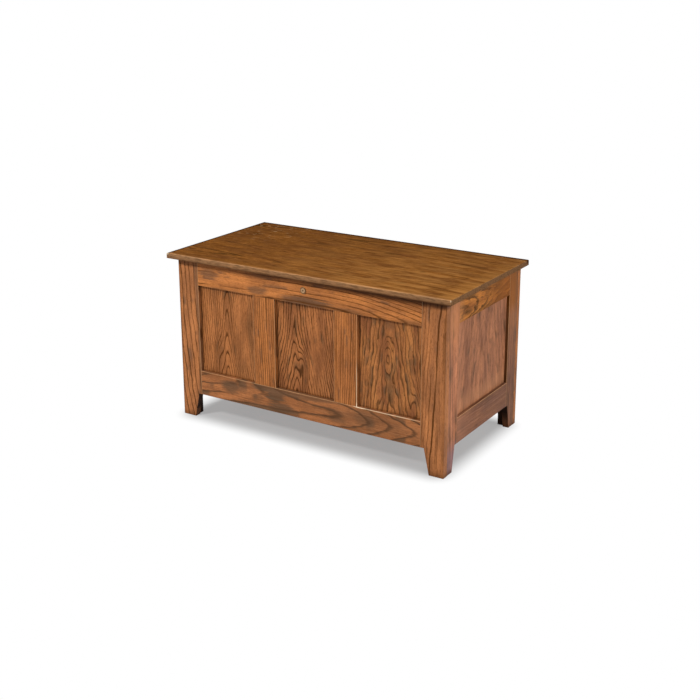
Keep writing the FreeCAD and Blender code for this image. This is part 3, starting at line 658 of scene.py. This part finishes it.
def lid_box():
    """The lowest and the highest corner of the lid's boards together, in metres."""
    boxes = [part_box(name) for name in nodes if name.startswith("lid_board")]
    low = Vector(min(box[0][axis] for box in boxes) for axis in range(3))
    high = Vector(max(box[1][axis] for box in boxes) for axis in range(3))
    return low, high


def lid_marks(tree, name, axes, board):
    """The lid: painted light on its top, edges worn greyer with a painted sheen, the front and right
    arrises rubbed pale with a painted highlight, the others dark.
    """
    low, high = lid_box()
    return (lid_top_marks(tree, board, low, high) + lid_edge_marks(tree, axes, board)
            + lid_arris_marks(tree, board, low, high))


def lid_top_marks(tree, board, low, high):
    """The top gets painted light in streaks, and pale flecks near three corners; the underside is even."""
    depth = add(tree, "ShaderNodeSeparateXYZ", {0: board}, out="Z")
    on_top = add(tree, "ShaderNodeMapRange", {"Value": depth, "From Min": LID_TOP[0],
                                              "From Max": LID_TOP[1]})
    # painted light: the top lighter towards the front right, in streaks
    lightened = near_line(tree, Vector((high.x, low.y, 0)), UPRIGHT, *LID_LIGHT_REACH)
    for share in (on_top, along_grain(tree, board, LID_LIGHT_STREAKS, levels=LIGHT_STREAK_LEVELS)):
        lightened = add(tree, "ShaderNodeMath", {0: lightened, 1: share}, operation="MULTIPLY")
    even = add(tree, "ShaderNodeMapRange", {"Value": depth, "From Min": LID_UNDER[0],
                                            "From Max": LID_UNDER[1], "To Min": UNDER_EVEN,
                                            "To Max": 0.0})
    marks = [(lightened, LID_PAINTED_LIGHT), (even, UNDER_LID),
             (near_line(tree, Vector((0, low.y, high.z)), FRONT_LINE, *LID_RUB_HIGHLIGHT), RUBBED_HIGHLIGHT)]

    fleck = along_grain(tree, board, FLECK)
    fleck = add(tree, "ShaderNodeMath", {0: fleck, 1: on_top}, operation="MULTIPLY")
    corners = Vector((low.x, high.y, 0)), Vector((high.x, high.y, 0)), Vector((low.x, low.y, 0))
    for corner, far in zip(corners, FLECK_REACHES):
        near = near_line(tree, corner, UPRIGHT, far, FLECK_PALE)
        marks.append((add(tree, "ShaderNodeMath", {0: fleck, 1: near}, operation="MULTIPLY"), FLECKED))
    return marks


def lid_edge_marks(tree, axes, board):
    """The edges are greyer from wear and a painted sheen, with grime in streaks and on the end grain."""
    square = squareness(tree, axes)
    edge = add(tree, "ShaderNodeMath", {0: square[0], 1: square[1]}, operation="MAXIMUM")
    edge, end = (add(tree, "ShaderNodeMapRange", {"Value": faces, "From Min": LID_EDGE_FACE[0],
                                                  "From Max": LID_EDGE_FACE[1], "To Max": amount})
                 for faces, amount in ((edge, EDGE_GREYING), (square[0], END_GRIME)))
    full, none, amount = EDGE_GRIME
    grime = add(tree, "ShaderNodeMapRange", {"Value": along_grain(tree, board, SCRAPE), "From Min": full,
                                             "From Max": none, "To Min": amount, "To Max": 0.0})
    grime = add(tree, "ShaderNodeMath", {0: edge, 1: grime}, operation="MULTIPLY")
    return [(edge, WORN_SHEEN_EDGE), (grime, GRIMY_EDGE), (end, GRIMY_EDGE)]


def lid_arris_marks(tree, board, low, high):
    """The front and right arrises are rubbed pale in patches with a painted highlight, the others dark,
    the front edge's lower arris has painted shade, and the front corners are knocked pale with a painted
    highlight.
    """
    most, least, left_over = ARRIS_PATCHY
    patchy = add(tree, "ShaderNodeMapRange", {"Value": along_grain(tree, board, SCRAPE), "From Min": most,
                                              "From Max": least, "To Min": left_over})
    marks = []
    for at, line, rub in ((Vector((0, low.y, high.z)), FRONT_LINE, FRONT_ARRIS),
                          (Vector((high.x, 0, high.z)), SIDE_LINE, RIGHT_ARRIS)):
        lightened = near_line(tree, at, line, *rub)
        marks.append((add(tree, "ShaderNodeMath", {0: lightened, 1: patchy}, operation="MULTIPLY"), RUBBED_HIGHLIGHT))

    # painted shade along the front edge's lower arris
    under = near_line(tree, Vector((0, low.y, low.z)), FRONT_LINE, *UNDER_EDGE)
    shade_weight = add(tree, "ShaderNodeMapRange", {"Value": chest_place(tree)["X"],
                                               "From Min": -UNDER_EDGE_SPAN,
                                               "From Max": UNDER_EDGE_SPAN, "To Min": UNDER_EDGE_LEFT})
    under = add(tree, "ShaderNodeMath", {0: under, 1: shade_weight}, operation="MULTIPLY")
    left = near_line(tree, Vector((low.x, 0, high.z)), SIDE_LINE, *LEFT_DARK)
    back = near_line(tree, Vector((0, high.y, high.z)), FRONT_LINE, *BACK_DARK)
    knock_highlights = [(near_line(tree, Vector((x, low.y, high.z)), *knock), CHIPPED_HIGHLIGHT)
              for x, knock in ((high.x, RIGHT_KNOCK_HIGHLIGHT), (low.x, LEFT_KNOCK_HIGHLIGHT))]
    return marks + [(left, SHADE_BROWN), (back, SHADE_BROWN), (under, SHADE_BROWN)] + knock_highlights


def plain_marks(tree, name, axes, board):
    """An inner board: only its ends are darker."""
    return [end_mark(tree, squareness(tree, axes))]


# ---- figures and stains of single boards -----------------------------------------------
FIGURES = {
    "front_frame_top_rail": Figure(
        12.0, seed=1, near=20, start=0.717, sway=4, flame=0.8, murk=0.3, uneven=0, thin=0.16,
        thick=0.3, faint=0.75, starved=0.85, ink=1.0, lined=0.8, bleed=0.9,
        rise=((-431, 11.5), (-227, 6.7), (-129, 2), (0, 0), (206, 4.8), (309, 17), (431, 35)),
        centre=((-431, -45), (431, -45)),
        patches=((12, -33, 108, 22, 1.3), (-188, -23, 46, 15, 0.95), (-386, 5, 56, 15, 1.0),
                 (168, -40, 62, 12, 0.7), (396, -38, 60, 10, 0.6), (-300, -42, 100, 7, 0.5),
                 (-160, 30, 60, 8, 0.6)),
        plains=((-290, 0, 200, 44, 0.7), (-300, -9, 140, 24, 1.0), (-115, -24, 100, 14, 1.0),
                (-40, 10, 190, 8, 0.9), (-350, 34, 140, 10, 0.8), (120, -24, 60, 9, 0.7))),
    "front_frame_bottom_rail": Figure(
        14.0, seed=2, near=8, steep=0.5, sway=4, flame=1.8, ragged=0.2, faint=0.85, murk=0.6, uneven=0,
        thin=0.2, thick=0.3, ink=0.55, starved=0.8, lined=0.9, bleed=0.85,
        rise=((-431, -49), (-300, -34), (-190, -19), (-131, -14), (0, -7), (165, 0), (257, 14),
              (340, 28), (427, 42)),
        centre=((-431, 52), (-300, 38), (-190, 18), (-131, 6), (165, 0), (431, -2)),
        patches=((-165, 38, 56, 22, 1.2), (-118, 12, 46, 40, 1.2), (-94, -28, 62, 32, 1.2),
                 (-160, -46, 180, 22, 1.1), (-10, 42, 170, 20, 1.0), (-306, 12, 46, 28, 1.1),
                 (127, -16, 42, 16, 0.8), (225, 12, 52, 34, 0.8), (250, 0, 200, 50, 0.45)),
        plains=((-250, 0, 120, 34, 0.85), (-420, -12, 60, 12, 0.5))),
    "front_frame_left_stile": Figure(
        18.0, seed=3, near=30, sway=13, rise=((-290, 0), (290, 0)), faint=0.85, starved=0.9, thin=0.16,
        thick=0.3, ink=1.0, lined=0.7, murk=0.3, bleed=1.0, centre=((-290, -105), (0, -90), (290, -50)),
        patches=((-20, 37, 300, 8, 0.8),)),
    "front_frame_right_stile": Figure(
        10.0, seed=4, near=30, start=0.96, sway=9, rise=((-290, 0), (290, 0)), faint=0.45, bold=0.6,
        starved=0.9, thin=0.3, thick=0.45, ink=1.0, lined=0.6, uneven=0, murk=0.0, flame=0.8,
        centre=((-290, 50), (-60, 36), (60, 29), (290, 22)),
        plains=((-170, -2, 190, 11, 0.95), (150, 31, 300, 17, 0.95), (-180, 17, 170, 11, -1.5),
                (150, 0, 210, 11, -1.5))),
    "front_frame_left_panel": Figure(
        20.0, seed=5, near=24, steep=2.4, sway=9, flame=3.5, faint=0.85, thin=0.2, thick=0.32,
        starved=0.9, lined=0.75, murk=0.3, ink=1.0,
        rise=((-163, 18), (-110, 0), (-22, -20), (45, -40), (100, -60), (150, -80), (163, -86)),
        centre=((-163, -2), (163, -8)), eyes=((90, -42, 120, 24, -26),),
        patches=((-20, 92, 170, 12, 0.7), (140, 60, 60, 60, 0.4), (90, -42, 14, 7, 0.6)),
        plains=((-20, 66, 200, 44, 0.75),)),
    "front_frame_centre_panel": Figure(
        17.0, seed=6, near=20, steep=1.8, sway=12, flame=5.0, faint=0.95, thin=0.28, thick=0.42,
        starved=0.9, lined=0.7, murk=0.4, ink=1.0,
        rise=((-163, 24), (-110, 12), (-50, 0), (0, -17), (45, -34), (90, -51), (130, -68), (163, -80)),
        centre=((-163, -44), (0, -42), (163, -40)), eyes=((60, -8, 90, 26, -40),),
        patches=((-72, -36, 40, 9, 0.95), (-95, -8, 20, 8, 0.8), (70, -41, 16, 8, 0.9),
                 (0, -108, 160, 9, 0.6), (120, 70, 60, 60, 0.3)),
        plains=((0, 42, 170, 34, 0.8),)),
    "front_frame_right_panel": Figure(
        14.0, seed=7, near=24, steep=1.1, sway=20, flame=6.0, murk=0.7, faint=0.6, bold=0.9, thin=0.25,
        thick=0.45, starved=0.8, lined=0.9, ink=0.9,
        rise=((-163, 14), (-28, 0), (163, -30)), centre=((-163, -8), (163, 4)),
        eyes=((-28, -4, 95, 34, -40), (120, 92, 80, 26, -24)),
        patches=((-110, -27, 24, 10, 0.9), (-108, 18, 14, 9, 0.8), (0, 13, 22, 9, 0.9),
                 (-28, 78, 14, 11, 0.95), (92, 3, 34, 13, 0.9), (92, 93, 28, 9, 0.7),
                 (72, -84, 12, 12, 0.8), (-100, 84, 16, 9, 0.7))),
    "right_frame_front_stile": Figure(
        16.0, seed=14, near=30, sway=8, rise=((-290, 0), (290, 0)), faint=0.25, bold=0.6, lined=1.2,
        streak=SIDE_STREAK, centre=((-290, -80), (290, -60))),
    "right_frame_back_stile": Figure(
        16.0, seed=15, near=40, sway=8, rise=((-290, 0), (290, 0)), faint=0.3, bold=0.7, lined=1.3,
        streak=SIDE_STREAK, centre=((-290, 70), (290, 60)),
        patches=((-245, 4, 34, 12, 1.0), (-170, 18, 40, 8, 0.9), (-100, -6, 36, 9, 0.9),
                 (-60, 22, 30, 7, 0.7))),
    "right_frame_top_rail": Figure(
        12.0, seed=8, near=14, steep=0.6, sway=22, flame=7, murk=1.3, bleed=0.8,
        rise=((-230, 0), (230, 50)), centre=((-230, -30), (0, 10), (230, 40)),
        patches=((-206, -8, 30, 12, 0.7), (-186, 24, 24, 8, 0.7), (-122, -24, 30, 12, 0.8))),
    "right_frame_bottom_rail": Figure(
        14.0, seed=9, near=80, sway=8, faint=0.1, bold=0.35, murk=0.4, lined=1.1, streak=SIDE_STREAK,
        rise=((-230, 0), (230, 20)), centre=((-230, 60), (230, 40))),
    "right_frame_side_panel": Figure(
        22.0, seed=10, near=16, sway=14, flame=4, faint=0.15, bold=0.4, murk=0.55, lined=0.9,
        streak=SIDE_STREAK, rise=((-163, 0), (163, -70)), centre=((-163, 10), (163, -4))),
}
# boards that took the stain unlike the rest of their frame
OWN_STAIN = {"right_frame_top_rail": "golden", "right_frame_bottom_rail": "dull",
             "right_frame_back_stile": "dull", "right_frame_front_stile": "post",
             "front_frame_bottom_rail": "low", "front_frame_left_mullion": "mullion",
             "front_frame_right_mullion": "mullion", "front_frame_left_stile": "stile",
             "front_frame_right_stile": "stile", "front_frame_centre_panel": "deep",
             "front_frame_right_panel": "wild"}


def grown(name, length, murk=0.4, lined=1.0, streak=STREAK):
    """A figure for a board that has none of its own: a gentle cathedral, drawn from the name."""
    chance = random.Random(name)
    climb = chance.choice((-1, 1)) * chance.uniform(12, 45)
    lean = chance.uniform(-0.03, 0.03)
    middle = chance.uniform(-25, 25)
    half = length / 2
    return Figure(chance.uniform(9, 13), ((-half, -climb), (half, climb)),
                  tuple((u, middle + lean * u) for u in (-half, half)), chance.uniform(10, 90),
                  near=chance.uniform(18, 50), start=chance.uniform(0, 1), sway=chance.uniform(6, 14),
                  flame=chance.uniform(1, 4), faint=0.32, bold=0.8, murk=murk, lined=lined,
                  streak=streak)


def quarter(name, length):
    """Straight lines: the pith lies far to one side."""
    chance = random.Random(name)
    side = chance.choice((-1, 1)) * chance.uniform(95, 130)
    half = length / 2
    return Figure(chance.uniform(8.0, 9.0), ((-half, -3), (half, 3)),
                  ((-half, side), (half, side + chance.uniform(-8, 8))), chance.uniform(10, 90),
                  sway=5, flame=0.6, thick=0.5, murk=0.2, lined=1.2)


# ---- which way each board lies ------------------------------------------------------
OUT = {"front": (0, -1, 0), "back": (0, 1, 0), "left": (-1, 0, 0), "right": (1, 0, 0)}
LEVEL = {"front": (1, 0, 0), "back": (-1, 0, 0), "left": (0, -1, 0), "right": (0, 1, 0)}
DOWN = (0, 0, -1)


def lay(name):
    """A board's stain, grain, face and marks from its name, or None if the node isn't oak."""
    side = name.split("_")[0]
    if name.startswith("lid_board"):
        return "lid", (1, 0, 0), (0, 0, 1), lid_marks
    if name.startswith("lid_batten"):
        return "inner", (0, 1, 0), DOWN, plain_marks
    if name.endswith("_cleat"):
        return "inner", LEVEL[side], OUT[side], plain_marks
    if "_frame_" not in name:
        return None
    stain = "side" if side in ("left", "right") else "front"
    if name.endswith("panel"):
        return ("side" if stain == "side" else "panel"), DOWN, OUT[side], panel_marks
    return stain, LEVEL[side] if name.endswith("rail") else DOWN, OUT[side], frame_marks


for name in nodes:
    lying = lay(name)
    if lying is None:
        continue
    stain, grain, face, marks = lying
    length = 2 * MM * reach(name, Vector(grain))
    if name in FIGURES:
        own = FIGURES[name]
    elif name.endswith("mullion"):
        own = quarter(name, length)
    elif stain == "lid":
        own = grown(name, length, murk=-0.4, lined=1.25, streak=LID_STREAK)
    else:
        own = grown(name, length)
    paint(name, oak(name, OWN_STAIN.get(name, stain), grain, face, own, marks))


# ---- the blocks behind the feet -----------------------------------------------------
SHADE_STREAK = "#3A2517"    # lighter streaks in that painted shade


def painted_shade_black(name):
    """Softwood block painted near-black as shade: matt, with faint streaks along the grain."""
    material, tree = new_material(name)
    point = add(tree, "ShaderNodeTexCoord", {}, out="Object")
    board = add(tree, "ShaderNodeVectorMath", {0: point, 1: (MM, MM, MM)}, operation="MULTIPLY")
    turned = add(tree, "ShaderNodeVectorRotate", {"Vector": board, "Angle": math.pi / 2},
                 rotation_type="Y_AXIS")
    mark = along_grain(tree, turned, BLOCK_STREAKS)
    colour = add(tree, "ShaderNodeMix", {0: mark, 6: linear(SHADE_BLACK), 7: linear(SHADE_STREAK)},
                 **COLOURS)
    shader = add(tree, "ShaderNodeBsdfPrincipled", {"Base Color": colour, "Roughness": 0.8,
                                                    "Specular IOR Level": 0.05})
    add(tree, "ShaderNodeOutputMaterial", {"Surface": shader})
    return material


# near-black painted shade for the blocks behind the feet
block_shade = painted_shade_black("leg_block_painted_shade")
for name in nodes:
    if name.startswith("leg_block"):
        paint(name, block_shade)


# ---- the cedar floor ----------------------------------------------------------------
CEDAR = ("#B0653F", "#94492E", "#E0BC8C", "#6B3420")   # heartwood, its dark years, sapwood, knots
CEDAR_BOARD = 95.0        # mm: width of the boards that the floor is glued up from
CEDAR_APART = (900, 60, 400)       # mm that a board's chance number and its count move its pattern
CEDAR_YEAR = 5.5          # mm
CEDAR_WAVED = 60.0        # mm of years that the wave's noise runs through
CEDAR_LATE = (0.45, 0.75)          # share of a year where the late wood starts, and how dark it gets
CEDAR_SAP_LEVELS = (0.0, 0.85)
CEDAR_FINE_LEVELS = (1.1, 0.86)
CEDAR_SEAM = (0.488, 0.496, 0.6)   # shares of a board's width from its middle, and how dark a seam is
KNOT_SPACING = 220.0      # mm along the grain; half as much across it
KNOT_SIZES = 0.06         # share of the spacing by which the knots differ in size
KNOT_REACH = 0.30         # share of the spacing within which a knot bends the years
KNOT_BEND = 3.0           # by so many years
KNOT_HEART = (0.03, 0.075, 0.9)    # its dark heart: full, ended, and how dark


def cedar(name):
    """Aromatic red cedar, sanded and left bare.

    Gives the eye: matt red-brown boards with cream sapwood streaks, fine wavy years and small dark
    knots. Each board has its own years, moved along by a chance number per board.
    """
    material, tree = new_material(name)
    middle = middle_of("floor_board")
    point = add(tree, "ShaderNodeTexCoord", {}, out="Object")
    board = add(tree, "ShaderNodeVectorMath", {0: point, 1: (MM, MM, MM), 2: -middle * MM},
                operation="MULTIPLY_ADD")
    across = add(tree, "ShaderNodeSeparateXYZ", {0: board}, out="Y")
    count = add(tree, "ShaderNodeMath", {0: across, 1: 1 / CEDAR_BOARD, 2: 0.5}, operation="MULTIPLY_ADD")
    own = add(tree, "ShaderNodeMath", {0: count}, operation="FLOOR")
    chance = add(tree, "ShaderNodeTexWhiteNoise", {"W": own}, out="Value", noise_dimensions="1D")
    shift = add(tree, "ShaderNodeCombineXYZ", {0: chance, 1: chance, 2: own})
    moved = add(tree, "ShaderNodeVectorMath", {0: shift, 1: CEDAR_APART, 2: board},
                operation="MULTIPLY_ADD")

    knot = add(tree, "ShaderNodeVectorMath", {0: moved, 1: (1 / KNOT_SPACING, 2 / KNOT_SPACING, 0)},
               operation="MULTIPLY")
    cells = add(tree, "ShaderNodeTexVoronoi", {"Vector": knot, "Scale": 1.0, "Randomness": 1.0},
                voronoi_dimensions="2D").node.outputs
    smaller = add(tree, "ShaderNodeSeparateXYZ", {0: cells["Color"]}, out="X")
    knot = add(tree, "ShaderNodeMath", {0: smaller, 1: KNOT_SIZES, 2: cells["Distance"]},
               operation="MULTIPLY_ADD")
    near_knot = add(tree, "ShaderNodeMapRange", {"Value": knot, "From Max": KNOT_REACH, "To Min": 1.0,
                                                 "To Max": 0.0}, **SMOOTH)
    full, ended, amount = KNOT_HEART
    knot_heart = add(tree, "ShaderNodeMapRange", {"Value": knot, "From Min": full, "From Max": ended,
                                                  "To Min": amount, "To Max": 0.0})

    wave = along_grain(tree, moved, CEDAR_WAVE)
    years = add(tree, "ShaderNodeMath", {0: wave, 1: CEDAR_WAVED / CEDAR_YEAR}, operation="MULTIPLY")
    years = add(tree, "ShaderNodeMath", {0: near_knot, 1: KNOT_BEND, 2: years}, operation="MULTIPLY_ADD")
    place = add(tree, "ShaderNodeMath", {0: years}, operation="FRACT")
    year = add(tree, "ShaderNodeMapRange", {"Value": place, "From Min": CEDAR_LATE[0],
                                            "To Max": CEDAR_LATE[1]}, **SMOOTH)
    pale = along_grain(tree, moved, CEDAR_SAP, levels=CEDAR_SAP_LEVELS)
    fine = along_grain(tree, moved, CEDAR_FINE, levels=CEDAR_FINE_LEVELS)
    seam = add(tree, "ShaderNodeMath", {0: count}, operation="FRACT")
    seam = add(tree, "ShaderNodeMath", {0: seam, 1: 0.5}, operation="SUBTRACT")
    seam = add(tree, "ShaderNodeMath", {0: seam}, operation="ABSOLUTE")
    start, full, amount = CEDAR_SEAM
    seam = add(tree, "ShaderNodeMapRange", {"Value": seam, "From Min": start, "From Max": full,
                                            "To Max": amount})

    tone, late, sap, dark = (linear(c) for c in CEDAR)
    for amount, tint in ((year, late), (pale, sap)):
        tone = add(tree, "ShaderNodeMix", {0: amount, 6: tone, 7: tint}, **COLOURS)
    tone = add(tree, "ShaderNodeMix", {0: 1.0, 6: tone, 7: fine}, blend_type="MULTIPLY", **COLOURS)
    for amount in (knot_heart, seam):
        tone = add(tree, "ShaderNodeMix", {0: amount, 6: tone, 7: dark}, **COLOURS)
    shader = add(tree, "ShaderNodeBsdfPrincipled", {"Base Color": tone, "Roughness": 0.75, "IOR": 1.5,
                                                    "Specular IOR Level": 0.15})
    add(tree, "ShaderNodeOutputMaterial", {"Surface": shader})
    return material


paint("floor_board", cedar("floor_red_cedar"))


# ---- metals ---------------------------------------------------------------------------
WIPED = (0.3, 0.7)        # noise where the wiping marks start and are full
WIPED_ROUGH = (0.8, 1.25)          # how the marks change the roughness
GRIME = 0.85
# rings about the lock's axis: where the grime starts and where it is full, in mm, and its colour
LOCK_GRIME = ((7.0, 8.8, "#5C4228"),       # the bright brass browns at its rim
              (3.2, 1.4, "#3A2A1A"))       # round the keyhole


def metal(name, colour, dull, rough, mark_mm, grime=()):
    """Plated or polished metal with fine wiping marks, which give a soft uneven shine."""
    material, tree = new_material(name)
    point = add(tree, "ShaderNodeTexCoord", {}, out="Object")
    mark = add(tree, "ShaderNodeTexNoise", {"Vector": point, "Scale": MM / mark_mm, "Detail": 3.0})
    mark = add(tree, "ShaderNodeMapRange", {"Value": mark, "From Min": WIPED[0], "From Max": WIPED[1]})
    rough = add(tree, "ShaderNodeMapRange", {"Value": mark, "To Min": rough * WIPED_ROUGH[0],
                                             "To Max": rough * WIPED_ROUGH[1]})
    tint = add(tree, "ShaderNodeMix", {0: mark, 6: linear(colour), 7: linear(dull)}, **COLOURS)
    if grime:
        across = Vector((MM, 0, MM))
        offset = add(tree, "ShaderNodeVectorMath", {0: point, 1: across,
                                                    2: -middle_of("lock_plug") * across},
                     operation="MULTIPLY_ADD")
        away = add(tree, "ShaderNodeVectorMath", {0: offset}, out="Value", operation="LENGTH")
    for start, full, grime_colour in grime:
        dirt = add(tree, "ShaderNodeMapRange", {"Value": away, "From Min": start, "From Max": full,
                                                "To Max": GRIME})
        tint = add(tree, "ShaderNodeMix", {0: dirt, 6: tint, 7: linear(grime_colour)}, **COLOURS)
    shader = add(tree, "ShaderNodeBsdfPrincipled", {"Base Color": tint, "Roughness": rough,
                                                    "Metallic": 1.0})
    add(tree, "ShaderNodeOutputMaterial", {"Surface": shader})
    return material


brass = metal("lock_brass_polished", "#C29C76", "#A38260", rough=0.30, mark_mm=1.5, grime=LOCK_GRIME)
plated = metal("hinge_brass_plated", "#BFA468", "#9C8450", rough=0.34, mark_mm=0.8)
zinc = metal("zinc_plated_steel", "#A8A9A6", "#8F908E", rough=0.36, mark_mm=0.8)
for name in nodes:
    if name in ("lock_housing", "lock_plug"):
        paint(name, brass)
    elif name.startswith("hinge_"):
        paint(name, plated)
    elif name.startswith("lock_") or name.endswith("_screws"):
        paint(name, zinc)


# ---- floor, light and camera ----------------------------------------------------------
FLOOR_HALF = 30.0         # metres
FLOOR_GREY = 0.8          # what it throws back onto the chest
DEEP_SHADOW = 0.33        # painted shadow: how light it shows under the chest where no lamp reaches
LIT_SHARE = 0.17          # what the lamps add to that
SHADOW_CORE = (0.468, 0.228, 0.0)  # the rectangle of painted shadow under the chest, from which it fades out
SHADOW_FADE = 0.092       # how far out from it the floor is plain white
SKY = 0.24                # even light from all round
SOFTBOXES = {             # place, what it points at, width in metres, power in watts
    "key": ((-1.4, -2.7, 2.8), (0, -0.28, 0.3), 0.6, 122),
    "fill": ((3.2, -0.5, 1.6), (0.5, 0, 0.3), 1.3, 56),
    "top": ((1.3, -1.1, 2.6), (0.2, -0.1, 0.5), 0.9, 18),
    "back": ((-1.9, 3.2, 0.95), (0, 0.28, 0.3), 1.0, 55),
}
CAMERA_PLACE = (2.02935, -3.21056, 1.55929)
CAMERA_AZIMUTH = 32.1     # degrees round from the front, to the right
CAMERA_PITCH = 15.805     # degrees above level
CAMERA_ROLL = -0.089
CAMERA_LENS = 60.01       # mm
CAMERA_SHIFT = -0.0923    # share of the picture's width
CAMERA_CLIP = 100         # metres, past the floor's far edge


def grey(level):
    """A neutral colour."""
    return (level, level, level, 1)


def seen_ray(tree):
    """1 for what the camera, a mirror or glass looks at, and 0 for light on its way to the object."""
    path = add(tree, "ShaderNodeLightPath", {}).node.outputs
    seen = add(tree, "ShaderNodeMath", {0: path["Is Camera Ray"], 1: path["Is Glossy Ray"]},
               operation="MAXIMUM")
    return add(tree, "ShaderNodeMath", {0: seen, 1: path["Is Transmission Ray"]}, operation="MAXIMUM")


def stage_floor():
    """Pale floor. It shows white away from the chest, and grey under it: a painted shadow round the
    chest's footprint, with a little real shade from the lamps.
    """
    mesh = bpy.data.meshes.new("floor")
    f = FLOOR_HALF
    mesh.from_pydata([(-f, -f, 0), (f, -f, 0), (f, f, 0), (-f, f, 0)], [], [(0, 1, 2, 3)])
    item = bpy.data.objects.new("floor", mesh)
    bpy.context.scene.collection.objects.link(item)
    material, tree = new_material("floor_paint")
    pale = add(tree, "ShaderNodeBsdfDiffuse", {"Color": grey(FLOOR_GREY)})
    lit = add(tree, "ShaderNodeBsdfDiffuse", {"Color": grey(LIT_SHARE)})
    base = add(tree, "ShaderNodeEmission", {"Strength": DEEP_SHADOW})
    shadowed = add(tree, "ShaderNodeAddShader", {0: lit, 1: base})
    white = add(tree, "ShaderNodeEmission", {"Strength": 1.0})

    point = add(tree, "ShaderNodeTexCoord", {}, out="Object")
    size = add(tree, "ShaderNodeVectorMath", {0: point}, operation="ABSOLUTE")
    past = add(tree, "ShaderNodeVectorMath", {0: size, 1: SHADOW_CORE}, operation="SUBTRACT")
    past = add(tree, "ShaderNodeVectorMath", {0: past, 1: (0, 0, 0)}, operation="MAXIMUM")
    away = add(tree, "ShaderNodeVectorMath", {0: past}, out="Value", operation="LENGTH")
    open_floor = add(tree, "ShaderNodeMapRange", {"Value": away, "From Max": SHADOW_FADE}, **SMOOTH)
    shown = add(tree, "ShaderNodeMixShader", {0: open_floor, 1: shadowed, 2: white})
    mix = add(tree, "ShaderNodeMixShader", {0: seen_ray(tree), 1: pale, 2: shown})
    add(tree, "ShaderNodeOutputMaterial", {"Surface": mix})
    mesh.materials.append(material)


def sky():
    """Even light from all round; the camera and mirrors see white."""
    world = bpy.data.worlds.new("studio")
    bpy.context.scene.world = world
    world.use_nodes = True
    tree = world.node_tree
    tree.nodes.clear()
    level = add(tree, "ShaderNodeMapRange", {"Value": seen_ray(tree), "To Min": SKY, "To Max": 1.0})
    light = add(tree, "ShaderNodeBackground", {"Color": grey(1), "Strength": level})
    add(tree, "ShaderNodeOutputWorld", {"Surface": light})


def softbox(name, place, target, size, power):
    """A round soft lamp, turned to its target."""
    data = bpy.data.lights.new(name, "AREA")
    data.shape = "DISK"
    data.size = size
    data.energy = power
    item = bpy.data.objects.new(name, data)
    item.location = place
    item.rotation_euler = (Vector(target) - Vector(place)).to_track_quat("-Z", "Y").to_euler()
    bpy.context.scene.collection.objects.link(item)


def camera():
    """A camera that looks down onto the chest from its front right."""
    data = bpy.data.cameras.new("camera")
    data.lens = CAMERA_LENS
    data.shift_y = CAMERA_SHIFT
    data.clip_end = CAMERA_CLIP
    item = bpy.data.objects.new("camera", data)
    turn = math.radians(CAMERA_AZIMUTH)
    pitch = math.radians(CAMERA_PITCH)
    look = Vector((-math.sin(turn) * math.cos(pitch), math.cos(turn) * math.cos(pitch), -math.sin(pitch)))
    level = look.to_track_quat("-Z", "Y").to_matrix()
    roll = Matrix.Rotation(math.radians(CAMERA_ROLL), 3, "Z")
    item.matrix_world = Matrix.Translation(CAMERA_PLACE) @ (level @ roll).to_4x4()
    bpy.context.scene.collection.objects.link(item)
    bpy.context.scene.camera = item


stage_floor()
sky()
for name, (place, target, size, power) in SOFTBOXES.items():
    softbox(name, place, target, size, power)
camera()
bpy.context.scene.view_settings.view_transform = "Standard"
